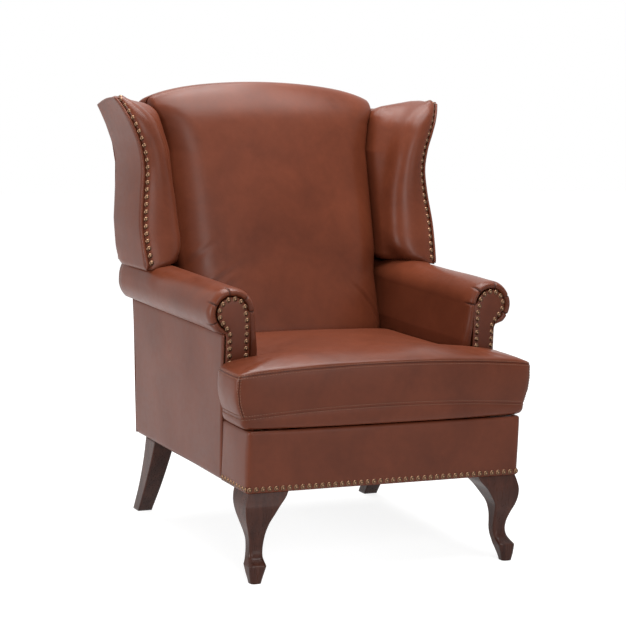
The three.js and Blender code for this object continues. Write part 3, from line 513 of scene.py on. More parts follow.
def sheet(name, around, along, place, outward, thickness, replaced):
    """An open hide whose face looks outward and whose thickness lies inwards."""
    bm = drawn(around, along, place, capped=False)
    total = sum((face.normal * face.calc_area() for face in bm.faces), Vector())
    if total.dot(outward) < 0:
        bmesh.ops.reverse_faces(bm, faces=bm.faces)
    made = finished(bm, name, hide, stands_for=[replaced])
    modifier = made.modifiers.new("thickness", "SOLIDIFY")
    modifier.thickness = thickness
    modifier.offset = -1


sheet("seat_border", 300, 34, border_place, Vector((0, -1, 0)), 0.002, "front_border_cover")

# Outside arm panels: leather over card from the box to the neck of the roll, tacked
# blind along the top, with a soft vertical edge beside the arm front.
arm_panel_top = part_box("outside_arm_panel_right")[1].z
panel_front = return_depth + 0.0006
neck_spread = 0.006


def rear_y(z):
    """Depth of the rear face, raked more above the kink in the back stiles."""
    kink = 0.6
    return base_depth + 0.09 * (min(z, kink) - leg_top) + 0.219 * max(z - kink, 0)


def soft_rim(share, length, width):
    """1 over a panel, falling away in a round within a width of both ends."""
    return min(min(share, 1 - share) * length / width, 1) ** 0.5


for word, side in sides:
    def arm_panel_place(s, t):
        z = box_foot + (arm_panel_top - box_foot) * t
        depth = panel_front + (rear_y(z) - 0.004 - panel_front) * s
        x = box_half + neck_spread * t
        soft = soft_rim(s, base_depth - panel_front, 0.007) * soft_rim(t, arm_panel_top - box_foot, 0.008)
        puff = 0.002 * hump(s) * hump(t) - 0.003 * (1 - soft)
        place = at(side * (x + puff), depth, z)
        return place + Vector((side, 0, 0)) * softness(place, 0.0016, 6)

    sheet(f"outer_arm_{word}", 150, 90, arm_panel_place, Vector((side, 0, 0)), 0.0025,
          f"outside_arm_panel_{word}")

# Outside back: one hide, flat and blind-tacked round its edge, from under the crest
# roll to the bottom of the box.
back_outline = [
    (box_foot, box_half), (0.45, box_half + 0.004), (0.51, 0.336), (0.585, 0.337), (0.602, 0.368),
    (0.65, 0.3765), (0.7, 0.3775), (0.772, 0.37), (0.828, 0.3665), (0.876, 0.372), (0.913, 0.384),
    (0.943, 0.393), (0.9615, 0.399),
]
back_flat_top = back_outline[-1][0]
crest_top = 1.025
crest_drop = 0.044
crest_half = 0.285
crest_lap = 0.026


def between(stops, place):
    """Value at a place on straight lines from stop to stop."""
    return float(np.interp(place, *zip(*stops)))


def crest_z(share):
    return crest_top - crest_drop * (0.66 * share ** 2 + 0.34 * share ** 6)


def back_panel_place(s, t):
    across = 2 * s - 1
    z = box_foot + (back_flat_top - box_foot) * t
    half = between(back_outline, z)
    x = across * half
    lift = max(t - 0.8, 0) / 0.2
    peak = 0.0
    if abs(x) < crest_half:
        peak = max(crest_z(min(abs(x) / crest_half, 1)) - crest_lap - back_flat_top, 0.0)
    z += lift ** 1.5 * peak
    rim = min(1 - abs(across), 0.03) / 0.03
    puff = 0.003 * (1 - across ** 4) * hump(t) ** 0.5 - 0.003 * (1 - rim ** 0.5)
    place = at(x, rear_y(z) - 0.0005 + puff, z)
    return place + Vector((0, softness(place, 0.002, 5), 0))


sheet("outer_back", 120, 140, back_panel_place, Vector((0, 1, 0)), 0.0025, "outside_back_panel")

# Arms: padding over the scroll post and board, covered in one hide that is pulled over
# the roll and gathered in five pleats round the front of the scroll.
arm_inner = 0.2565
roll_x, roll_z, roll_radius = 0.318, 0.557, 0.054
neck_z = 0.511
arm_foot = 0.322
arm_front = return_depth + 0.0003
arm_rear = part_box("arm_pad_right")[1].y - front
ring_depth = 0.02
bead = 0.0085
pleat_angles = [math.radians(angle) for angle in (-28, 25, 79, 135, 177)]


def arm_line(inset):
    """Section of the arm from the foot of its inside, round the roll to the neck."""
    radius = roll_radius - inset
    line = [(arm_inner + inset, arm_foot + 0.022 * i) for i in range(8)]
    for i in range(61):
        angle = math.pi * (1 - 1.27 * i / 60)
        line.append((roll_x + radius * math.cos(angle), roll_z + radius * math.sin(angle)))
    line += [(0.3325 - inset * 0.2, neck_z + inset * 0.4), (0.3255, neck_z - 0.01), (0.3255, arm_foot)]
    return line


def along_line(line, share):
    """Point at a share of the length of a line of points."""
    steps = [math.dist(a, b) for a, b in zip(line, line[1:])]
    left = share * sum(steps)
    for (a, b), step in zip(zip(line, line[1:]), steps):
        if left <= step:
            return tuple(p + (q - p) * left / step for p, q in zip(a, b))
        left -= step
    return line[-1]


arm_lines = {}


def arm_point(inset, share):
    key = round(inset, 6)
    if key not in arm_lines:
        closed = arm_line(inset)
        closed.append(closed[0])
        arm_lines[key] = [along_line(closed, i / 420) for i in range(421)]
    return arm_lines[key][round(share * 420)]


def pleat_depth(x, z, reach):
    """1 in the bottom of a pleat, fading back along the roll."""
    angle = math.atan2(z - roll_z, x - roll_x)
    if angle < -math.pi / 2:
        angle += 2 * math.pi
    near = min(abs(angle - pleat) for pleat in pleat_angles)
    return math.exp(-(near * roll_radius / 0.002) ** 2) * clamped(1 - reach / 0.022) ** 0.7


for word, side in sides:
    def arm_place(s, t):
        # The ring round the facing, the bend over its front, then the length of the arm.
        if t < 0.2:
            turn = t / 0.2 * math.pi / 2
            inset = bead + bead * math.cos(turn)
            depth = arm_front + 0.002 - 0.0105 * math.sin(turn)
        elif t < 0.42:
            turn = (t - 0.2) / 0.22 * math.pi / 2
            inset = bead * (1 - math.sin(turn))
            depth = arm_front - bead + ring_depth * (1 - math.cos(turn))
        else:
            inset = 0.0
            share = (t - 0.42) / 0.58
            length = arm_rear - arm_front - ring_depth + bead
            depth = arm_front - bead + ring_depth + length * share ** 1.4
        x, z = arm_point(inset, s)
        depth = min(depth, rear_y(z) - 0.008)
        low = clamped((0.5 - z) / 0.04)
        if depth < arm_front + 0.006:
            depth += 0.0045 * low * (arm_front + 0.006 - depth) / 0.0145
        reach = depth - arm_front
        pleat = pleat_depth(x, z, reach) if x < 0.375 and z > 0.5 else 0.0
        place = at(side * x, depth + 0.003 * pleat * (1 - min(max(reach, 0) / 0.02, 1)), z)
        inward = Vector((side * (roll_x - x), 0, roll_z - z))
        if z > 0.5 and inward.length > 0.01:
            place += inward.normalized() * 0.0022 * pleat
            gather = math.cos(5.0 * 2 * math.pi * math.atan2(z - roll_z, x - roll_x) / 5.45)
            place -= inward.normalized() * 0.0007 * gather * max(1 - abs(reach - 0.012) / 0.03, 0)
        puff = 0.003 * hump(clamped((z - 0.36) / 0.2)) ** 2
        puff *= clamped(1 - (x - arm_inner) / 0.014)
        place += Vector((-side * puff, 0, 0))
        if z > roll_z:
            under_wing = clamped((depth - 0.46) / 0.05) * math.exp(-((x - 0.362) / 0.02) ** 2)
            place.z += 0.013 * under_wing
        return place + Vector((side * softness(place, 0.0012, 8), 0, softness(place, 0.0015, 7)))

    arm = drawn(420, 70, arm_place)
    arm = finished(arm, f"arm_hide_{word}", hide, stands_for=[f"arm_pad_{word}"])
    # The crease values darken the pleat bottoms with painted shade in the hide's colour, besides making them
    # rougher and sunk in the bump.
    written(arm, "crease", [pleat_depth(abs(x), z, y - front - arm_front) if z > 0.5 else 0.0
                            for x, y, z in (vertex.co for vertex in arm.data.vertices)])

# Arm facings: hide stretched over a shaped board and nailed to the scroll post, a
# little domed, standing in the ring of gathered leather.
facing_inset = 0.0195
facing_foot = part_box("arm_facing_right")[0].z
facing_out_x = box_half - 0.0005
for word, side in sides:
    radius = roll_radius - facing_inset
    outline = [(arm_inner + facing_inset, facing_foot), (arm_inner + facing_inset, roll_z)]
    for i in range(1, 25):
        angle = math.pi * (1 - 1.24 * i / 24)
        outline.append((roll_x + radius * math.cos(angle), roll_z + radius * math.sin(angle)))
    outline += [(facing_out_x, neck_z + 0.008), (facing_out_x, neck_z - 0.006), (facing_out_x, facing_foot)]
    bm = bmesh.new()
    rim = [bm.verts.new(at(side * x, arm_front, z)) for x, z in outline]
    plate = bm.faces.new(rim)
    raised = bmesh.ops.extrude_face_region(bm, geom=[plate])["geom"]
    lifted = [item for item in raised if isinstance(item, bmesh.types.BMVert)]
    bmesh.ops.translate(bm, verts=lifted, vec=(0, -0.0045, 0))
    bmesh.ops.recalc_face_normals(bm, faces=bm.faces)
    bm.faces.ensure_lookup_table()
    face = min(bm.faces, key=lambda f: f.calc_center_median().y)
    for width, rise in ((0.0012, 0.0011), (0.0022, 0.0009), (0.005, 0.0007), (0.008, 0.0005)):
        bmesh.ops.inset_region(bm, faces=[face], thickness=width, depth=rise, use_even_offset=True)
        face = min((f for f in bm.faces if len(f.verts) > 20), key=lambda f: f.calc_center_median().y)
    finished(bm, f"facing_{word}", hide, stands_for=[f"arm_facing_{word}"])

# Wings: a padded roll up the front edge of each wing, hollow behind it, that turns into
# the groove beside the back. The top slopes down to the rear.
wing_foot, wing_top = 0.615, 0.988
# Each row: height, then place and depth of the front edge and width of the roll.
wing_stops = [
    (0.615, (0.3761, 0.503, 0.076)), (0.6486, (0.3788, 0.5164, 0.104)), (0.7008, (0.3799, 0.5355, 0.107)),
    (0.7717, (0.3723, 0.5545, 0.094)), (0.8276, (0.368, 0.5624, 0.08)), (0.8761, (0.375, 0.5657, 0.077)),
    (0.9134, (0.388, 0.5702, 0.077)), (0.9432, (0.4004, 0.5792, 0.076)), (0.9693, (0.4123, 0.596, 0.064)),
    (0.988, (0.422, 0.615, 0.05)),
]
wing_slope, wing_hump, wing_taper, wing_sag = 0.026, 0.006, 0.014, 0.014
back_half_stops = [(0.571, 0.2525), (0.631, 0.262), (0.865, 0.262), (0.989, 0.285)]


def back_half(z):
    return between(back_half_stops, z)


def groove_y(z):
    return 0.567 + (0.3 * (z - 0.6) if z > 0.6 else 0.38 * (z - 0.6))


def wing_z(t):
    return wing_foot + (wing_top - wing_foot) * t


def wing_tilt(z):
    return clamped((z - wing_foot) / (wing_top - wing_foot)) ** 6


def wing_rear(z):
    return rear_y(z - wing_slope * wing_tilt(z))


def wing_level(z, share):
    """Height of a place on a ring of the wing, at a share of its depth."""
    return z + wing_tilt(z) * (wing_hump * hump(share) - wing_slope * share)


def rounded(gap, radius):
    """How far a round edge falls away at a gap from its end, as a share of its radius."""
    return 1 - math.sqrt(max(1 - max(1 - gap / radius, 0) ** 2, 0))


def wing_ring(z):
    """Corners of the plan of the wing pad at a height, from its outer front corner."""
    edge_x, edge_y, width = eased(wing_stops, z)
    outer = edge_x - 0.0045
    width -= 0.0045
    rear = wing_rear(z) - 0.006
    inner = back_half(z) + 0.0005
    groove = groove_y(z)
    roll = outer - width
    rear_x = outer - wing_taper * wing_tilt(z)
    rolled = [(outer, edge_y + 0.004), (outer - 0.005, edge_y - 0.001)]
    for u in (math.sin(math.pi / 2 * i / 26) for i in range(2, 26)):
        if u < 0.45:
            bulge = 0.012 - 0.011 * ((0.45 - u) / 0.45) ** 2
        else:
            bulge = 0.012 - 0.049 * (1 - math.sqrt(1 - ((u - 0.45) / 0.55) ** 2))
        rolled.append((outer - width * u, edge_y - bulge))
    return rolled + [
        (roll, edge_y + 0.037), (roll - 0.28 * (roll - inner), 0.55 * groove + 0.45 * (edge_y + 0.037)),
        (inner + 0.14 * (roll - inner), groove - 0.003), (inner, groove + 0.02), (inner, rear - 0.004),
        (inner + 0.012, rear), (rear_x - 0.012, rear), (rear_x, rear - 0.004),
        ((outer + rear_x) / 2, (edge_y + rear) / 2), (outer, edge_y + 0.02),
    ]


def smooth_loop(points, share):
    """Point at a share of the way round a closed smooth curve through points."""
    count = len(points)
    place = share % 1.0 * count
    i, u = int(place), place % 1.0
    p = [np.asarray(points[(i + k) % count], float) for k in (-1, 0, 1, 2)]
    return (p[1] + 0.5 * u * (p[2] - p[0] + u * (2 * p[0] - 5 * p[1] + 4 * p[2] - p[3]
            + u * (3 * (p[1] - p[2]) + p[3] - p[0]))))


def even_loop(dense, count, soften):
    """Evenly spaced points round a closed line of many points, softened a little."""
    dense = np.array(list(dense) + [dense[0]])
    run = np.concatenate([[0], np.cumsum(np.linalg.norm(np.diff(dense, axis=0), axis=1))])
    stops = np.linspace(0, run[-1], count, endpoint=False)
    ring = np.stack([np.interp(stops, run, dense[:, i]) for i in (0, 1)], axis=1)
    for _ in range(soften):
        ring = (np.roll(ring, 1, 0) + 2 * ring + np.roll(ring, -1, 0)) / 4
    return ring


wing_rows, wing_points = 150, 200
foot_round, top_round = 0.016, 0.034
wing_rings = []
for row in range(wing_rows + 1):
    z = wing_z(row / wing_rows)
    corners = wing_ring(z)
    ring = even_loop([smooth_loop(corners, i / 408) for i in range(408)], wing_points, 1)
    roll = corners[0][0] - eased(wing_stops, z)[2]
    for reach, times in ((corners[0][0] - 0.005, 10), (roll + 0.02, 50)):
        loose = np.clip((reach - ring[:, 0]) / 0.03, 0, 1)[:, None]
        for _ in range(times):
            ring = ring + (np.roll(ring, 1, 0) + np.roll(ring, -1, 0) - 2 * ring) / 4 * loose
    along = np.roll(ring, -1, 0) - np.roll(ring, 1, 0)
    inward = np.stack([-along[:, 1], along[:, 0]], axis=1) / np.linalg.norm(along, axis=1)[:, None]
    if ((ring.mean(0) - ring) * inward).sum() < 0:
        inward = -inward
    inset = foot_round * rounded(z - wing_foot, foot_round) + top_round * rounded(wing_top - z, top_round)
    free = np.clip((corners[0][0] - 0.008 - ring[:, 0]) / 0.028, 0, 1)
    free *= np.clip((corners[-5][1] - ring[:, 1]) / 0.03, 0, 1)
    wing_rings.append((ring + inward * (inset * free)[:, None], corners[0][1], corners[-5][1]))

for word, side in sides:
    def wing_place(s, t):
        ring, edge_y, rear = wing_rings[round(t * wing_rows)]
        x, y = ring[round(s * wing_points) % wing_points]
        z = wing_z(t)
        share = clamped((y - edge_y) / (rear - edge_y))
        level = wing_level(z, share)
        out = 0.6 + 0.2 * clamped((x - 0.324) / 0.028) + 0.15 * clamped((0.312 - x) / 0.03)
        level -= wing_sag * out * max(1 - (z - wing_foot) / 0.05, 0)
        level += wing_tilt(z) * (0.004 - 0.16 * max(0.385 - x, 0) - 0.009 * max(1 - (0.421 - x) / 0.02, 0))
        place = at(side * x, y, level)
        return place + Vector((softness(place, 0.0012, 8), softness(place, 0.0014, 9), 0))

    wing = drawn(wing_points, wing_rows, wing_place)
    wing = finished(wing, f"wing_hide_{word}", hide, stands_for=[f"wing_pad_{word}"])

# Outside wing panels: hide over card, with a folded welt along the front edge beside
# the nails.
for word, side in sides:
    def wing_panel_place(s, t):
        z = wing_z(t)
        edge_x, edge_y, _ = eased(wing_stops, z)
        rear = wing_rear(z) - 0.0045
        x = edge_x - wing_taper * wing_tilt(z) * s
        y = edge_y + (rear - edge_y) * s
        level = wing_level(z, s)
        level -= wing_sag * (1 + 0.5 * s) * max(1 - (z - wing_foot) / 0.05, 0)
        soft = soft_rim(s, rear - edge_y, 0.008) * soft_rim(t, wing_top - wing_foot, 0.006)
        puff = 0.0025 * hump(s) * hump(t) ** 0.5 - 0.0025 * (1 - soft)
        corner = max(1 - (z - wing_foot) / 0.04, 0) ** 2 * max((s - 0.7) / 0.3, 0) ** 2
        return at(side * (x - 0.0005 + puff - 0.006 * corner), y - 0.006 * corner, level + 0.004 * corner)

    sheet(f"outer_wing_{word}", 60, 120, wing_panel_place, Vector((side, 0, 0)), 0.0035,
          f"outside_wing_panel_{word}")


def tube(name, line, radius, material, rows, body="root"):
    """A closed tube of one radius along a function of the share of its length."""
    def place(s, t):
        t = clamped(t)
        here = line(t)
        ahead = (line(min(t + 0.004, 1.0)) - line(max(t - 0.004, 0.0))).normalized()
        first = ahead.cross(Vector((0.31, 0.42, 0.85))).normalized()
        second = ahead.cross(first)
        turn = 2 * math.pi * s
        return here + (first * math.cos(turn) + second * math.sin(turn)) * radius

    finished(drawn(12, rows, place), name, material, body)


for word, side in sides:
    def welt_line(t):
        z = wing_foot - wing_sag + 0.004 + (wing_top - wing_foot + wing_sag - 0.009) * t
        edge_x, edge_y, _ = eased(wing_stops, max(z, wing_foot))
        return at(side * (edge_x - 0.0032), edge_y - 0.0015, z)

    tube(f"wing_welt_{word}", welt_line, 0.003, hide, 110)

# Inside back: a deep pad between the wings, crowned across, rolled over the crest rail
# to the rear and drawn into the groove on each side.
pad_crown = 0.03
pad_foot = box_top + 0.0003
crest_roll, crest_bend = 0.052, 0.088
groove_floor = groove_y(0.6 - (0.6 - box_top) * 0.55)
pad_around, pad_across = 260, 170


def pad_line(share):
    """Side profile of the back pad at a share of its half width, as a closed line."""
    top = crest_z(share)
    middle = 1 - abs(share) ** 2.2
    bend = top - crest_bend

    def front_at(z):
        part = (z - pad_foot) / (top - crest_roll - pad_foot)
        swell = hump(0.04 + 0.84 * min(part, 1.1))
        return max(groove_y(z), groove_floor) - pad_crown * middle * swell

    rows = [(front_at(z), z) for z in np.linspace(pad_foot, bend, 61)]
    for i in range(1, 31):
        turn = i / 30 * math.pi / 2
        z = bend + crest_bend * math.sin(turn)
        rows.append((front_at(z) + 0.046 * (1 - math.cos(turn)), z))
    peak_y, hook = rows[-1][0], top - 0.03
    depth = rear_y(hook) - 0.001 - peak_y
    for i in range(1, 21):
        turn = i / 20 * math.pi / 2
        rows.append((peak_y + depth * math.sin(turn), hook + 0.03 * math.cos(turn)))
    rows.append((rear_y(hook) - 0.04, hook - 0.012))
    rows += [(rear_y(z) - 0.044, z) for z in np.linspace(bend, pad_foot, 30)]
    return rows


pad_sections = []
for i in range(pad_across + 1):
    across = 2 * i / pad_across - 1
    share = math.copysign(1 - (1 - abs(across)) ** 1.4, across)
    pad_sections.append((share, even_loop(pad_line(share), pad_around, 2)))


def pad_place(s, t):
    share, section = pad_sections[round(t * pad_across)]
    y, z = section[round(s * pad_around) % pad_around]
    behind = clamped((y - groove_y(z) - 0.05) / 0.06)
    half = back_half(z) + (0.012 + 0.026 * behind) * clamped((z - 0.93) / 0.035)
    x = share * half
    high = clamped((z - crest_z(share) + crest_bend) / crest_bend)
    gap = (1 - abs(share)) * half
    middle_y = groove_y(z) + 0.052
    if y < middle_y:
        y += 0.028 * max(1 - gap / 0.085, 0) ** 2.6 * (1 - 0.6 * high)
        y += 0.009 * rounded(gap, 0.01)
    z -= 0.012 * rounded(gap, 0.012) * high
    place = at(x, y, z)
    folds = back_folds(x, z) if y < middle_y else 0.0
    return place + Vector((0, softness(place, 0.0022, 6) + folds, 0))


def fold(x, z, start, end, bow, width, depth):
    """Depth of one soft fold that runs in an arc between two places on the back."""
    from_start, run = Vector((x, z)) - Vector(start), Vector(end) - Vector(start)
    share = from_start.dot(run) / run.length_squared
    if not -0.1 < share < 1.1:
        return 0.0
    normal = Vector((-run.y, run.x)).normalized()
    off = (from_start - run * share).dot(normal) - bow * hump(clamped(share))
    ends = hump(clamped((share + 0.1) / 1.2))
    valley, ridge = math.exp(-(off / width) ** 2), math.exp(-((off - 1.8 * width) / width) ** 2)
    return depth * ends * (valley - 0.6 * ridge)


def back_folds(x, z):
    """Folds at the foot of the back: one curved crease on the right, pulls on the left."""
    total = fold(x, z, (0.16, 0.56), (0.262, 0.4), 0.018, 0.005, 0.0026)
    pulls = [((-0.262, 0.5), (-0.13, 0.6), 0.0022), ((-0.255, 0.46), (-0.14, 0.565), 0.0028),
             ((-0.262, 0.58), (-0.17, 0.66), 0.0014)]
    for start, end, depth in pulls:
        total += fold(x, z, start, end, 0.006, 0.0065, depth)
    return total


back_pad = drawn(pad_around, pad_across, pad_place)
back_pad = finished(back_pad, "back_hide", hide, stands_for=["back_pad"])

# Seat cushion: a T-shaped foam core in a sewn leather case with a boxing strip. The
# case is inflated as cloth, held at its seams, then sewn with double rows of stitches.
seam_low = box_top + 0.0243
boxing = 0.092
case_middle = seam_low + boxing / 2
ear_half = 0.36
ear_rear = 0.1290
throat = 0.2535
cushion_rear = 0.4935
bow = 0.012
case_line = [
    (0.0, -bow), (0.12, -bow * 0.89), (0.24, -bow * 0.55), (0.33, -0.0015), (0.3555, 0.0025),
    (0.3595, 0.0075), (0.361, 0.03), (0.361, 0.08), (0.3585, 0.115), (0.35, 0.1265), (0.335, ear_rear),
    (0.29, ear_rear), (throat + 0.007, ear_rear), (throat, ear_rear + 0.008), (throat, 0.3),
    (throat, 0.44), (throat - 0.006, 0.479), (throat - 0.03, cushion_rear - 0.002), (0.15, cushion_rear),
    (0.0, cushion_rear),
]
case_line += [(-x, y) for x, y in reversed(case_line[1:-1])]
case_line.append(case_line[0])
case_points = [along_line(case_line, i / 600) for i in range(600)]
heart_y = 0.115
arch = 0.018
# Each row: share of the way from the bottom to the top, then rise over the lower seam and reach.
case_rows = [
    (0.0, (-0.0243, 0.02)), (0.1, (-0.0243, 0.6)), (0.17, (-0.0243, 0.9)), (0.22, (-0.0236, 0.962)),
    (0.26, (-0.0195, 0.988)), (0.29, (-0.0115, 1.002)), (0.32, (0.0, 1.0)), (0.42, (boxing * 0.25, 1.0)),
    (0.5, (boxing * 0.5, 1.0)), (0.58, (boxing * 0.75, 1.0)), (0.66, (boxing, 1.0)),
    (0.72, (boxing + 0.007, 0.972)), (0.8, (boxing + 0.014, 0.9)), (0.9, (boxing + 0.019, 0.66)),
    (1.0, (boxing + 0.021, 0.02)),
]


def arched(x, y, rise):
    """Height of a place on the case, raised in the middle of the front like a filled case."""
    share = 1 - min(abs(x) / ear_half, 1) ** 2.2
    return rise + arch * share * (1 - 0.9 * clamped(y / 0.4)) * clamped((rise + 0.024) / 0.024)


def tucked(x, y, rise):
    """Draws the ears in towards their lower seam, where the boxing is shortest."""
    low = clamped(1 - rise / boxing) ** 1.5
    ear = clamped((abs(x) - 0.27) / 0.09)
    bulge = 0.0065 * hump(clamped(rise / boxing)) * ear
    return x * (1 - 0.032 * low * ear) + math.copysign(bulge, x), y


def on_case(x, y, rise, reach):
    """Place on the case, from its outline, its rise over the lower seam and its reach."""
    x, y = tucked(x * reach, heart_y + (y - heart_y) * reach, rise)
    return at(x, y, seam_low + arched(x, y, rise))


def case_place(s, t):
    return on_case(*case_points[round(s * 600) % 600], *eased(case_rows, t))


def cushion_form(shrink):
    """The closed form of the filled case, shrunk about its middle."""
    bm = drawn(600, 60, case_place)
    middle = at(0, 0.25, case_middle)
    for corner in bm.verts:
        corner.co = middle + (corner.co - middle) * shrink
    return bm


core = cushion_form(0.93)
middle_z = case_middle + 0.004
for corner in core.verts:
    corner.co.z = middle_z + (corner.co.z - middle_z) * 0.82
    if abs(corner.co.x) > throat - 0.02:
        corner.co.y = min(corner.co.y, front + ear_rear - 0.014)
core = finished(core, "foam_core", foam, "seat_cushion", ["seat_cushion_core"])


def nearest(points):
    tree = KDTree(len(points))
    for i, place in enumerate(points):
        tree.insert(place, i)
    tree.balance()
    return tree


seam_lines = [[on_case(x, y, rise, 1.0) for x, y in case_points] for rise in (0.0, boxing)]
seam_trees = [nearest(line) for line in seam_lines]
form = cushion_form(0.985)
bmesh.ops.triangulate(form, faces=[face for face in form.faces if len(face.verts) > 4])
case = in_scene("cushion_case", mesh_of("case_form", form))


def settled(made):
    """The mesh of an object with its modifiers applied."""
    bpy.context.view_layer.update()
    depsgraph = bpy.context.evaluated_depsgraph_get()
    mesh = bpy.data.meshes.new_from_object(made.evaluated_get(depsgraph))
    made.modifiers.clear()
    made.data = mesh
    return mesh


remesh = case.modifiers.new("weave", "REMESH")
remesh.mode = "VOXEL"
remesh.voxel_size = 0.0055
settled(case)
filling_steps, filling_limit = 20, 0.022
start = [vertex.co.copy() for vertex in case.data.vertices]
held = case.vertex_groups.new(name="held")
for i, place in enumerate(start):
    gap = min(seams.find(place)[2] for seams in seam_trees)
    if gap < 0.012 or place.z < seam_low - 0.003:
        held.add([i], 0.9 if gap < 0.009 else 0.5, "REPLACE")
cloth = case.modifiers.new("inflated", "CLOTH")
leather_cloth = {
    "use_pressure": True, "uniform_pressure_force": 4.0, "vertex_group_mass": "held", "quality": 4,
    "mass": 0.35, "tension_stiffness": 12, "compression_stiffness": 12, "bending_stiffness": 1.2}
for setting, value in leather_cloth.items():
    setattr(cloth.settings, setting, value)
cloth.settings.effector_weights.gravity = 0.0
cloth.collision_settings.use_collision = False
cloth.collision_settings.use_self_collision = False
cloth.point_cache.frame_start = 1
cloth.point_cache.frame_end = filling_steps
for step in range(1, filling_steps + 1):
    bpy.context.scene.frame_set(step)
settled(case)
bpy.context.scene.frame_set(1)
for vertex, place in zip(case.data.vertices, start):
    move = vertex.co - place
    if move.length > filling_limit:
        vertex.co = place + move * (filling_limit / move.length)
relaxed = case.modifiers.new("relaxed", "SMOOTH")
relaxed.factor = 0.5
relaxed.iterations = 9
relaxed.vertex_group = "held"
relaxed.invert_vertex_group = True
smoother = case.modifiers.new("smooth", "SUBSURF")
smoother.levels = 1
smoother.render_levels = 1
case_mesh = settled(case)
corner_seams = []
for _, side in sides:
    rises = [boxing * i / 60 for i in range(61)]
    corner_seams.append([at(*tucked(side * 0.3555, 0.0005, rise), seam_low + rise) for rise in rises])
corner_trees = [nearest(line) for line in corner_seams]
normals = [vertex.normal.copy() for vertex in case_mesh.vertices]
for vertex, normal in zip(case_mesh.vertices, normals):
    gap = min(seams.find(vertex.co)[2] for seams in seam_trees)
    gap_corner = min(seams.find(vertex.co)[2] for seams in corner_trees)
    depth = 0.002 if vertex.co.z > case_middle else 0.0012
    sunk = depth * math.exp(-(gap / 0.006) ** 2) + 0.0016 * math.exp(-(gap_corner / 0.008) ** 2)
    vertex.co -= normal * sunk
    vertex.co.z = max(vertex.co.z, box_top + 0.0004)
case_mesh.polygons.foreach_set("use_smooth", [True] * len(case_mesh.polygons))
case_mesh.materials.clear()
case_mesh.materials.append(hide)
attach(case, "seat_cushion")
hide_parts("seat_cushion_cover")

# Seams of the case: the boxing is joined to the top and bottom panels and at both front corners, and each
# joint is topstitched on both sides in matching thread. A thin near-black cord sunk along each seam is
# painted shadow of its groove.
skin = BVHTree.FromPolygons([v.co for v in case_mesh.vertices], [p.vertices for p in case_mesh.polygons])
seam_shadow_finish = finish_of("painted_seam_shadow", hide_tree, {
    "Deep": (0.014, 0.004, 0.0025, 1), "Bright": (0.024, 0.007, 0.004, 1), "Wrinkles": 0.1}, 0.2, 0.0003,
    **{"Specular IOR Level": 0.05})
thread = finish_of("waxed_thread", cloth_tree, {
    "Thread": (0.2, 0.088, 0.052, 1), "Gap": (0.1, 0.042, 0.025, 1), "Count": 2600.0}, 0.3, 0.0002)
stitch_length, stitch_pitch, stitch_radius = 0.0036, 0.0064, 0.0007


def on_skin(place, lift):
    found, normal, _, _ = skin.find_nearest(place)
    return found + normal * lift, normal


# A near-black tube sunk along a seam line, as painted shadow in the seam's groove.
def seam_shadow_cord(name, line, closed, radius=0.0008):
    points = [on_skin(place, -0.00045)[0] for place in line]
    count = len(points)

    def line_at(t):
        position = (t % 1.0 if closed else clamped(t)) * (count if closed else count - 1)
        i = int(position)
        u = position - i
        following = (i + 1) % count if closed else min(i + 1, count - 1)
        return points[i % count] * (1 - u) + points[following] * u

    rows = count * 2 if closed else count
    tube(name, line_at, radius, seam_shadow_finish, rows, "seat_cushion")


def evenly(line, pitch, whole):
    """Places about a pitch apart along a line of points, both ends included."""
    count = whole(sum((b - a).length for a, b in zip(line, line[1:])) / pitch)
    line = [tuple(place) for place in line]
    return [Vector(along_line(line, i / count)) for i in range(count + 1)]


def stitch_row(bm, line, offset, closed):
    """Adds a row of stitches along a line of places, moved by offset over the skin."""
    points = line + line[:1] if closed else line
    stops = evenly(points, stitch_pitch, int)
    for first, second in zip(stops, stops[1:]):
        run = (second - first).normalized()
        place, normal = on_skin((first + second) / 2 + offset(run), 0.0)
        across = normal.cross(run).normalized()
        turn = Matrix((run, across, normal)).transposed().to_4x4()
        made = bmesh.ops.create_cube(bm, size=1.0)["verts"]
        for corner in made:
            x, y, z = corner.co
            taper = 0.72 if z > 0 else 1.0
            corner.co = Vector((x * stitch_length * taper, y * stitch_radius * 2 * taper,
                                z * stitch_radius * 2 + stitch_radius * 0.4))
        bmesh.ops.transform(bm, matrix=Matrix.Translation(place) @ turn, verts=made)


for name, line, rise, radius in (("lower", seam_lines[0], -1, 0.0005), ("upper", seam_lines[1], 1, 0.0007)):
    def on_boxing(_):
        return Vector((0, 0, -rise * 0.0042))

    def on_panel(run):
        return Vector((0, 0, rise * 0.0026)) + run.cross(Vector((0, 0, 1))) * -0.0036

    seam_shadow_cord(f"{name}_seam", line, True, radius)
    bm = bmesh.new()
    stitch_row(bm, line, on_boxing, True)
    stitch_row(bm, line, on_panel, True)
    bmesh.ops.recalc_face_normals(bm, faces=bm.faces)
    finished(bm, f"{name}_stitches", thread, "seat_cushion")
for (word, side), line in zip(sides, corner_seams):
    seam_shadow_cord(f"corner_seam_{word}", line[2:-2], False)
    bm = bmesh.new()
    for shift in (-0.0042, 0.0042):
        stitch_row(bm, line[3:-3], lambda run: Vector((shift * 0.8, side * shift * 0.6, 0)), False)
    bmesh.ops.recalc_face_normals(bm, faces=bm.faces)
    finished(bm, f"corner_stitches_{word}", thread, "seat_cushion")
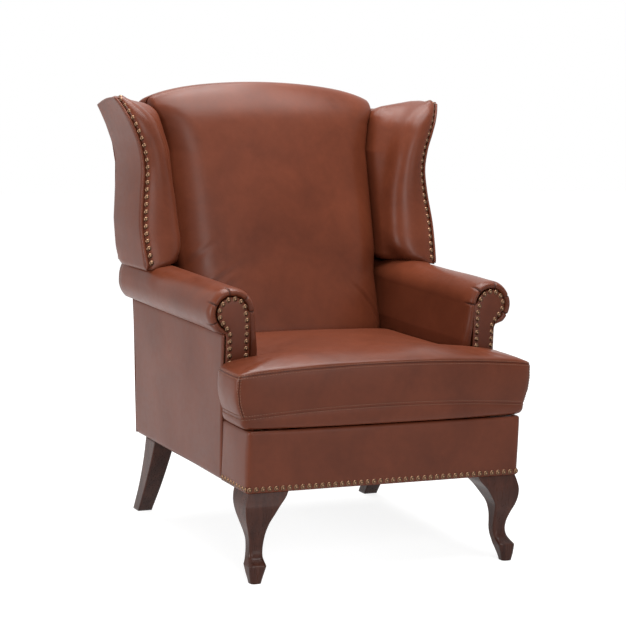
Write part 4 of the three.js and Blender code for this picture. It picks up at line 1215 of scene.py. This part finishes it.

# Nails: domed brass heads driven in rows close together round the seat box, the arm facings and the wing
# fronts.
# Each head carries painted reflections: a painted highlight on top, a dark ring, a bright rim and a dark
# edge, varied a little by random tarnish.
brass_tree, brass_in = group("aged_brass_painted_glints", Worn=(COLOUR, (0.5, 0.3, 0.15, 1)),
                             Aged=(COLOUR, (0.05, 0.02, 0.01, 1)))
# Painted reflection rings: 1 shows the bright brass of a painted highlight, 0 the dark brass of a painted
# shaded ring; random tarnish varies it a little.
painted_glint = node(brass_tree, "ShaderNodeAttribute", attribute_name="painted_glint").outputs["Fac"]
tarnish = spots(brass_tree, object_place(brass_tree), 900.0, 3.0)
glint_and_tarnish = arithmetic(brass_tree, "MULTIPLY", painted_glint, spread(brass_tree, tarnish, 0.2, 0.7, 0.7, 1.1))
gives(brass_tree, blended(brass_tree, glint_and_tarnish, brass_in["Aged"], brass_in["Worn"]),
      spread(brass_tree, glint_and_tarnish, 0.0, 1.0, 0.46, 0.36), tarnish)
brass = finish_of("aged_brass_painted_glints", brass_tree, {
    "Worn": (0.27, 0.155, 0.092, 1), "Aged": (0.016, 0.007, 0.0045, 1)}, 0.1, 0.0002, Metallic=1.0)
head_radius, head_rise = 0.0059, 0.0029
head_profile = [(0.0, 1.0), (0.2, 0.97), (0.4, 0.86), (0.6, 0.68), (0.78, 0.46), (0.92, 0.2), (1.0, -0.06)]
# Painted highlight and shade across each head, from its middle to its edge: bright middle, dark ring, bright
# rim, dark edge.
head_glint_rings = [(0.0, 1.0), (0.2, 0.85), (0.4, 0.3), (0.6, 0.16), (0.78, 0.6), (0.92, 0.85), (1.0, 0.25)]
head_rim = (0.93, -0.25)


def one_nail():
    bm = bmesh.new()
    line = [bm.verts.new((head_radius * r, 0, head_rise * h)) for r, h in head_profile + [head_rim]]
    edges = [bm.edges.new(pair) for pair in zip(line, line[1:])]
    bmesh.ops.spin(bm, geom=line + edges, cent=(0, 0, 0), axis=(0, 0, 1), angle=2 * math.pi, steps=14,
                   use_merge=True)
    bmesh.ops.remove_doubles(bm, verts=bm.verts, dist=0.00001)
    bmesh.ops.holes_fill(bm, edges=[edge for edge in bm.edges if edge.is_boundary], sides=0)
    bmesh.ops.recalc_face_normals(bm, faces=bm.faces)
    return mesh_of("nail", bm)


nail_mesh = one_nail()


def nailed(name, places, trim):
    """One object with a nail at each (place, outward direction)."""
    bm = bmesh.new()
    glints = []
    for place, out in places:
        first = len(bm.verts)
        bm.from_mesh(nail_mesh)
        bm.verts.ensure_lookup_table()
        turn = out.to_track_quat("Z", "Y").to_matrix().to_4x4()
        for corner in bm.verts[first:]:
            glints.append(between(head_glint_rings, math.hypot(corner.co.x, corner.co.y) / head_radius))
        bmesh.ops.transform(bm, matrix=Matrix.Translation(place) @ turn, verts=bm.verts[first:])
    made = finished(bm, name, brass, stands_for=[trim])
    written(made, "painted_glint", glints)


def row_of(line, pitch, out):
    """A row of (place, outward direction) along a line of points."""
    return [(place, Vector(out)) for place in evenly(line, pitch, round)]


nail_z = box_foot + 0.00775
pitch, wing_pitch = 0.0155, 0.0168
border_nails = []
for _, side in sides:
    ends = [at(side * (box_half + 0.0006), y, nail_z) for y in (0.0093, 0.1326)]
    border_nails += row_of(ends, pitch, (side, 0, 0))
border_nails += row_of([at(-0.3246, -0.001, nail_z), at(0.3246, -0.001, nail_z)], pitch, (0, -1, 0))
nailed("border_nails", border_nails, "front_border_nail_trim")
arm_nail_y, arm_nail_foot, arm_nail_ring = arm_front - 0.0068, 0.3415, 0.0305
wing_nails_low, wing_nails_high = 0.6187, 0.9824
for word, side in sides:
    line = [at(side * 0.2845, arm_nail_y, arm_nail_foot), at(side * 0.2845, arm_nail_y, roll_z - 0.01)]
    for i in range(40):
        angle = math.pi * (1.06 - 1.26 * i / 39)
        line.append(at(side * (roll_x + arm_nail_ring * math.cos(angle)), arm_nail_y,
                       roll_z + arm_nail_ring * math.sin(angle)))
    line += [at(side * 0.3225, arm_nail_y, neck_z + 0.003), at(side * 0.3215, arm_nail_y, arm_nail_foot)]
    nailed(f"arm_nails_{word}", row_of(line, pitch, (0, -1, 0)), f"arm_nail_trim_{word}")
    line = []
    for i in range(60):
        z = wing_nails_low + (wing_nails_high - wing_nails_low) * i / 59
        edge_x, edge_y, _ = eased(wing_stops, z)
        line.append(at(side * (edge_x - 0.0135), edge_y - 0.0045, z))
    over_top = row_of(line, wing_pitch, (0, -1, 0.1))
    corner_y, corner_x = line[-1].y - front, abs(line[-1].x) - 0.002
    for i in range(6):
        y = corner_y + 0.011 + wing_pitch * i
        place = at(side * (corner_x - 0.0007 * i), y, wing_top + 0.0015 - 0.0022 * i)
        over_top.append((place, Vector((0, -0.7 if i == 0 else 0, 1))))
    nailed(f"wing_nails_{word}", over_top, f"wing_nail_trim_{word}")
